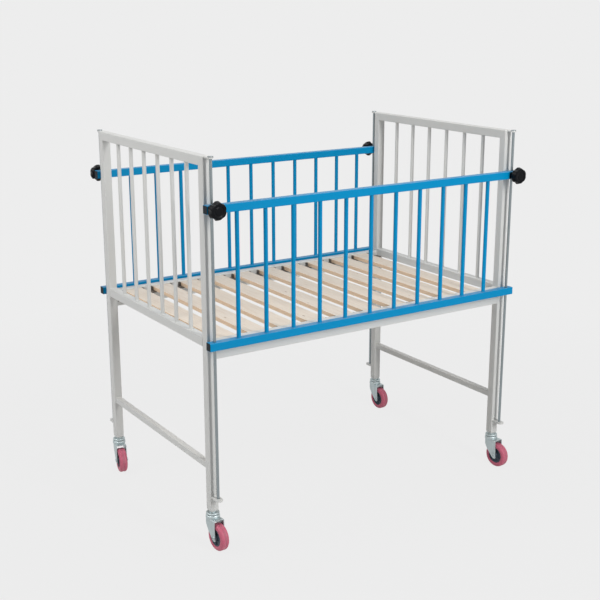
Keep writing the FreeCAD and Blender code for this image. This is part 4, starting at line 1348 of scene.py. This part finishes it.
@dataclass
class StarKnob:
    """A six-lobed clamping knob on its stud."""

    row: Row
    side: Side
    face: float = 353.5 * MM
    height: float = 940 * MM
    lobes: int = 6
    scallop_radius: float = 9 * MM
    scallop_centre: float = 29.5 * MM
    carved_from: float = 17 * MM
    sharpness: float = 1100.0
    steps: int = 144

    def build(self) -> None:
        """Make the knob, and finish its stud."""
        word = corner_word(self.row, self.side)
        shape = Shape()
        shape.turned(in_mm((
            (4.1, 1.8), (11.6, 1.8), (12.0, 2.2), (12.0, 4.2), (12.3, 5.6), (13.2, 6.5),
            (15.0, 6.9), (17.6, 7.1), (19.0, 8.2), (20.6, 10.2), (22.2, 12.4), (23.6, 14.2),
            (24.6, 15.4), (24.95, 16.4), (24.8, 17.8), (24.2, 20.0), (23.3, 23.2), (22.5, 26.0),
            (22.0, 27.4), (21.2, 28.3), (19.8, 28.7), (17.2, 28.8), (14.8, 28.75), (13.9, 28.4),
            (13.4, 27.5), (12.6, 27.3), (11.0, 27.3), (10.2, 27.35), (9.7, 27.7), (9.2, 28.0),
            (8.6, 28.1), (6.0, 28.15), (0.0, 28.2),
        )), steps=self.steps)
        for vert in shape.bm.verts:
            self.carve(vert)
        x = self.side.value * END_X
        y = self.row.value * self.face
        place = along((x, y, self.height), (x, y + self.row.value, self.height))
        bmesh.ops.transform(shape.bm, matrix=place, verts=shape.bm.verts)
        shape.piece(f"star_knob_{word}", BLACK_PLASTIC, f"knob_{word}", "black_plastic",
                    [f"knob_{word}"])
        dress_node(f"clamp_stud_{word}", ZINC)

    def carve(self, vert: bmesh.types.BMVert) -> None:
        """Pull a point of the round blank in where a hollow lies between two lobes.

        Args:
            vert: A vertex of the blank, whose axis is Z.
        """
        reach = math.hypot(vert.co.x, vert.co.y)
        if reach < self.carved_from:
            return
        target = self.trimmed(reach, math.atan2(vert.co.y, vert.co.x))
        vert.co.x *= target / reach
        vert.co.y *= target / reach

    def trimmed(self, reach: float, angle: float) -> float:
        """How far a point of the blank still reaches once the hollows are cut.

        Args:
            reach: The point's radius on the round blank.
            angle: Its direction about the knob's axis.

        Returns:
            The radius, softened where a hollow meets a lobe.
        """
        pitch = 2 * math.pi / self.lobes
        off = (angle + pitch / 2) % pitch - pitch / 2
        sideways = self.scallop_centre * math.sin(off)
        depth = self.scallop_radius ** 2 - sideways ** 2
        if depth <= 0:
            return reach
        hollow = self.scallop_centre * math.cos(off) - math.sqrt(depth)
        low = math.exp(-self.sharpness * hollow) + math.exp(-self.sharpness * reach)
        return -math.log(low) / self.sharpness


# ---------------------------------------------------------------- casters


@dataclass
class Caster:
    """A swivel caster: pressed fork, riveted axle, tyre and hub."""

    row: Row
    side: Side
    yaw: float
    trail: float = 28 * MM
    axle_height: float = 38 * MM
    outer_half: float = 16.5 * MM
    sheet: float = 2.5 * MM
    shoulder: float = 4.5 * MM
    top: float = 88 * MM
    low: float = 26 * MM
    sheet_reach: tuple[float, float] = (-45 * MM, 62 * MM)
    tyre_colour: Colour = (0.60, 0.125, 0.20)
    rib_count: int = 6
    rib_start: float = 9 * MM
    rib_end: float = 20.6 * MM
    rib_half: float = 0.9 * MM
    rib_round: float = 0.5 * MM

    @property
    def word(self) -> str:
        """The corner's name in the CAD node names."""
        return corner_word(self.row, self.side)

    @property
    def place(self) -> Matrix:
        """Where the caster's own axes lie: Z is the swivel axis, and the wheel trails on -Y."""
        turn = Matrix.Rotation(math.radians(self.yaw), 4, "Z")
        return corner_place(self.row, self.side, POST_Y) @ turn

    @property
    def wheel_place(self) -> Matrix:
        """Where the wheel's own axes lie: its Z is the axle."""
        shift = Matrix.Translation((0, -self.trail, self.axle_height))
        return self.place @ shift @ Matrix.Rotation(math.pi / 2, 4, "Y")

    def build(self) -> None:
        """Make every piece of the caster."""
        self.fork()
        self.axle()
        self.tyre()
        self.hub()

    def outline(self) -> list[tuple[Vector, Vector]]:
        """The planes that trim the pressed sheet to the outline of its legs.

        Returns:
            Each plane as a point on it and the direction of what goes, across X.
        """
        back_top, knee, heel = Vector((0, 10, 88)), Vector((0, 10, 70)), Vector((0, -1, 51))
        front_top = Vector((0, -31, 88))
        axle, tip_radius = Vector((0, -28, 38)), 10
        planes = [(back_top, Vector((0, 1, 0)))]

        def add_tangent(angle: float) -> None:
            """Add the plane that touches the round tip in a direction."""
            away = Vector((0, math.cos(angle), math.sin(angle)))
            planes.append((axle + away * tip_radius, away))

        for start, end in ((back_top + Vector((0, 0.4, -14)), knee + Vector((0, -2.5, -6))),
                           (knee, heel)):
            run = end - start
            planes.append((start, Vector((0, -run.z, run.y))))
        for degrees in range(-60, -200, -20):
            add_tangent(math.radians(degrees))
        reach = front_top - axle
        add_tangent(math.atan2(reach.z, reach.y) + math.acos(tip_radius / reach.length))
        planes.append((front_top, Vector((0, -1, 0.06))))
        reach = heel - axle
        add_tangent(math.atan2(reach.z, reach.y) - math.acos(tip_radius / reach.length))
        return [(point * MM, away) for point, away in planes]

    def fork(self) -> None:
        """The pressed fork: one bent sheet, and the lower race on top of it."""
        sheet = Shape()
        half, bend = self.outer_half, self.shoulder
        line = [(-half, self.low)]
        for step in range(5):
            turn = math.radians(180 - 22.5 * step)
            line.append((-half + bend + bend * math.cos(turn), self.top - bend
                         + bend * math.sin(turn)))
        line += [(-x, z) for x, z in reversed(line)]
        front, depth = self.sheet_reach
        verts = [sheet.bm.verts.new((x, front, z)) for x, z in line]
        edges = [sheet.bm.edges.new(pair) for pair in zip(verts, verts[1:])]
        drawn = bmesh.ops.extrude_edge_only(sheet.bm, edges=edges)["geom"]
        bmesh.ops.translate(sheet.bm, vec=(0, depth, 0), verts=[
            item for item in drawn if isinstance(item, bmesh.types.BMVert)])
        for through, away in self.outline():
            sheet.split(through, away, drop=True)
        bmesh.ops.recalc_face_normals(sheet.bm, faces=sheet.bm.faces)
        top_face = max(sheet.bm.faces, key=lambda face: face.calc_center_median().z)
        if top_face.normal.z < 0:
            bmesh.ops.reverse_faces(sheet.bm, faces=sheet.bm.faces)
        bmesh.ops.solidify(sheet.bm, geom=sheet.bm.faces[:], thickness=self.sheet)
        fork = copies(sheet, [self.place])
        fork.turned(in_mm((
            (5.1, 85.7), (19.0, 85.7), (19.4, 86.4), (19.5, 88.0), (19.5, 91.6), (19.2, 93.2),
            (18.4, 94.6), (17.4, 95.6), (16.4, 96.1), (14.8, 96.2), (14.0, 95.4), (13.4, 95.0),
            (5.1, 95.0), (5.1, 85.7),
        )), self.place, 56)
        fork.piece(f"fork_pressed_{self.word}", ZINC, f"swivel_{self.word}", "zinc",
                   [f"fork_{self.word}"], 0.45 * MM, flat_sided=True)

    def axle(self) -> None:
        """The riveted axle, with a hollow in each end."""
        shape = Shape()
        half = ((0.0, 14.6), (2.3, 14.6), (2.5, 19.0), (3.0, 19.45), (4.6, 19.3), (5.7, 18.6),
                (6.0, 17.6), (6.0, 16.5), (4.0, 16.5), (4.0, 0.0))
        shape.turned(in_mm(mirrored(half)), self.wheel_place, 32)
        shape.piece(f"axle_riveted_{self.word}", ZINC, f"swivel_{self.word}", "zinc",
                    [f"axle_{self.word}"])

    def tyre(self) -> None:
        """The tyre: two rounded ribs with a shallow groove between them."""
        half = ((24.5, 11.3), (25.4, 12.0), (27.5, 12.4), (30.0, 12.5), (32.0, 12.2),
                (33.8, 11.5), (35.4, 10.4), (36.7, 9.0), (37.5, 7.7), (37.9, 6.4), (38.0, 4.8),
                (37.95, 3.4), (37.7, 2.8), (37.45, 2.3), (37.4, 1.6), (37.4, 0.0))
        shape = Shape()
        shape.turned(in_mm([*mirrored(half), half[0]]), self.wheel_place, 112)
        finish = TyreRubber(f"tyre_rubber_{self.word}", self.tyre_colour,
                            self.wheel_place.translation, math.radians(self.yaw))
        shape.piece(f"tyre_moulded_{self.word}", finish, f"wheel_{self.word}", "pink_tyre",
                    [f"tyre_{self.word}"])

    def hub(self) -> None:
        """The hub: a lipped rim, a dished web with six ribs, and a boss."""
        half = ((4.05, 13.7), (8.2, 13.7), (9.3, 13.2), (9.5, 12.0), (9.6, 8.6), (10.4, 7.7),
                (12.5, 7.5), (18.2, 7.5), (19.8, 8.0), (20.4, 9.2), (20.6, 10.4), (21.2, 11.1),
                (22.4, 11.3), (23.6, 11.2), (24.3, 10.8), (24.45, 10.2), (24.45, 0.0))
        shape = Shape()
        shape.turned(in_mm([*mirrored(half), half[0]]), self.wheel_place, 72)
        rib = Shape()
        for sign in (-1, 1):
            low, high = sorted((sign * 6 * MM, sign * 9.6 * MM))
            rib.block((self.rib_start, -self.rib_half, low), (self.rib_end, self.rib_half, high),
                      self.rib_round, 2)
        pitch = 360 / self.rib_count
        shape.stamp(rib, [
            self.wheel_place @ Matrix.Rotation(math.radians(pitch * index), 4, "Z")
            for index in range(self.rib_count)])
        shape.piece(f"hub_moulded_{self.word}", SLATE_PLASTIC, f"wheel_{self.word}",
                    "slate_plastic", [f"hub_{self.word}"])


@dataclass
class CasterStems:
    """The fixed parts of the casters below the posts, and the inserts that hold them."""

    insert_half: float = 8.5 * MM
    insert_low: float = 106.6 * MM
    insert_high: float = 148 * MM
    insert_round: float = 1.5 * MM

    def build(self) -> None:
        """Make the kingpins with their races, and the post inserts."""
        places = [corner_place(row, side, POST_Y) for row, side in CORNERS]
        stem = Shape()
        stem.turned(in_mm((
            (0.0, 82.2), (6.6, 82.2), (7.7, 82.9), (8.0, 84.2), (8.0, 85.2), (5.0, 85.2),
            (5.0, 96.5), (13.0, 96.5), (13.0, 97.5), (17.2, 97.5), (18.1, 97.7), (18.5, 98.4),
            (18.5, 100.6), (18.1, 101.8), (17.2, 102.6), (15.8, 103.0), (14.2, 102.8),
            (13.2, 102.3), (11.0, 102.2), (10.2, 102.5), (10.0, 103.4), (10.0, 106.0),
            (5.5, 106.0), (5.5, 140.0), (4.5, 141.0), (0.0, 141.0),
        )), steps=56)
        copies(stem, places).piece("caster_stems_turned", ZINC, "frame", "zinc",
                                   ["caster_stems"])
        half = self.insert_half
        insert = Shape()
        insert.block((-half, -half, self.insert_low), (half, half, self.insert_high),
                     self.insert_round, 2)
        copies(insert, places).piece("post_inserts_moulded", BLACK_PLASTIC, "frame",
                                     "black_plastic", ["post_inserts"])


# ---------------------------------------------------------------- studio


@dataclass
class Studio:
    """A pale floor, soft light and the camera."""

    backdrop: float = 0.847
    ambient: float = 0.22
    ambient_colour: Colour = (0.97, 0.985, 1.0)
    floor_colour: Colour = (0.72, 0.72, 0.72)
    floor_half: float = 60.0
    lamps: tuple = (
        ("key_strip", (0.3, -2.85, 2.0), (0.4, 2.0), 56.0),
        ("left_softbox", (-3.0, 0.2, 2.65), (1.6, 1.6), 47.0),
        ("top_softbox", (0.4, 0.6, 4.2), (2.2, 2.2), 40.0),
    )
    lamp_aim: Vector = Vector((0, 0, 0.55))
    camera_place: Vector = Vector((-1.78423, -2.70830, 1.44169))
    azimuth: float = -33.05
    elevation: float = 15.37
    roll: float = -0.07
    lens: float = 65.43
    sensor: float = 36.0
    shadow_share: float = 0.045
    shadow_near: float = 0.7
    shadow_far: float = 2.2

    def build(self) -> None:
        """Set the camera, the world, the lamps and the floor."""
        self.camera()
        self.world()
        for name, place, size, power in self.lamps:
            self.lamp(name, place, size, power)
        self.floor()
        bpy.context.scene.view_settings.view_transform = "Standard"

    def camera(self) -> None:
        """Make the camera and use it."""
        azimuth, elevation = math.radians(self.azimuth), math.radians(self.elevation)
        back = Vector((math.sin(azimuth) * math.cos(elevation),
                       -math.cos(azimuth) * math.cos(elevation), math.sin(elevation)))
        right = (-back).cross(Vector((0, 0, 1))).normalized()
        up = back.cross(right)
        turn = Matrix((right, up, back)).transposed() @ Matrix.Rotation(
            math.radians(self.roll), 3, "Z")
        data = bpy.data.cameras.new("camera")
        data.lens = self.lens
        data.sensor_width = self.sensor
        camera = add_object("camera", data)
        camera.matrix_world = Matrix.Translation(self.camera_place) @ turn.to_4x4()
        bpy.context.scene.camera = camera

    @staticmethod
    def seen_directly(nodes: Nodes) -> bpy.types.NodeSocket:
        """One for what the camera, a reflection or clear glass shows, and zero for light."""
        path = nodes.add("ShaderNodeLightPath").outputs
        either = nodes.math("MAXIMUM", path["Is Camera Ray"], path["Is Glossy Ray"])
        return nodes.math("MAXIMUM", either, path["Is Transmission Ray"])

    def world(self) -> None:
        """A pale backdrop that gives less light than it shows."""
        world = bpy.data.worlds.new("studio")
        world.use_nodes = True
        bpy.context.scene.world = world
        nodes = Nodes(world.node_tree, empty=True)
        shown = nodes.add("ShaderNodeBackground", {"Color": (self.backdrop,) * 3, "Strength": 1.0})
        light = nodes.add("ShaderNodeBackground",
                          {"Color": self.ambient_colour, "Strength": self.ambient})
        both = nodes.add("ShaderNodeMixShader", {
            0: self.seen_directly(nodes), 1: light.outputs[0], 2: shown.outputs[0]})
        nodes.add("ShaderNodeOutputWorld", {"Surface": both.outputs[0]})

    def lamp(self, name: str, place: Sequence[float], size: tuple[float, float],
             power: float) -> None:
        """A softbox aimed at the crib.

        Args:
            name: The lamp's name.
            place: Where it stands.
            size: Its width and height.
            power: Its power in watts.
        """
        data = bpy.data.lights.new(name, "AREA")
        data.shape = "RECTANGLE"
        data.size, data.size_y = size
        data.energy = power
        lamp = add_object(name, data)
        aim = (self.lamp_aim - Vector(place)).to_track_quat("-Z", "Y")
        lamp.matrix_world = Matrix.Translation(Vector(place)) @ aim.to_matrix().to_4x4()

    def floor(self) -> None:
        """A plain pale floor that keeps the crib's shadow near it."""
        mesh = bpy.data.meshes.new("floor")
        shape = Shape()
        bmesh.ops.create_grid(shape.bm, x_segments=4, y_segments=4, size=self.floor_half)
        shape.bm.to_mesh(mesh)
        shape.bm.free()
        floor = add_object("floor", mesh)
        material = bpy.data.materials.new("studio_floor")
        material.use_nodes = True
        nodes = Nodes(material.node_tree, empty=True)
        distance = nodes.add("ShaderNodeVectorMath", {0: nodes.object_place()},
                             operation="LENGTH").outputs["Value"]
        near = nodes.spread(distance, self.shadow_near, self.shadow_far, self.shadow_share, 0.0)
        flat = nodes.times(self.seen_directly(nodes), nodes.math("SUBTRACT", 1.0, near))
        lit = nodes.add("ShaderNodeBsdfDiffuse", {"Color": self.floor_colour})
        plain = nodes.add("ShaderNodeEmission", {"Color": (self.backdrop,) * 3, "Strength": 1.0})
        both = nodes.add("ShaderNodeMixShader", {0: flat, 1: lit.outputs[0], 2: plain.outputs[0]})
        nodes.add("ShaderNodeOutputMaterial", {"Surface": both.outputs[0]})
        mesh.materials.append(material)


# ---------------------------------------------------------------- the whole crib


YAWS = {
    (Row.FRONT, Side.LEFT): 3.5,
    (Row.FRONT, Side.RIGHT): 6.4,
    (Row.REAR, Side.LEFT): -12.0,
    (Row.REAR, Side.RIGHT): 1.4,
}


def main() -> None:
    """Build and dress the crib, then set the studio around it."""
    logging.basicConfig(level=logging.INFO, format="%(message)s")
    for side in Side:
        EndFrame(side).build()
    Deck().build()
    GuideRods().build()
    for row in Row:
        Guard(row).build()
    CasterStems().build()
    for row, side in CORNERS:
        StarKnob(row, side).build()
        Caster(row, side, YAWS[row, side]).build()
    Studio().build()


if __name__ == "__main__":
    main()
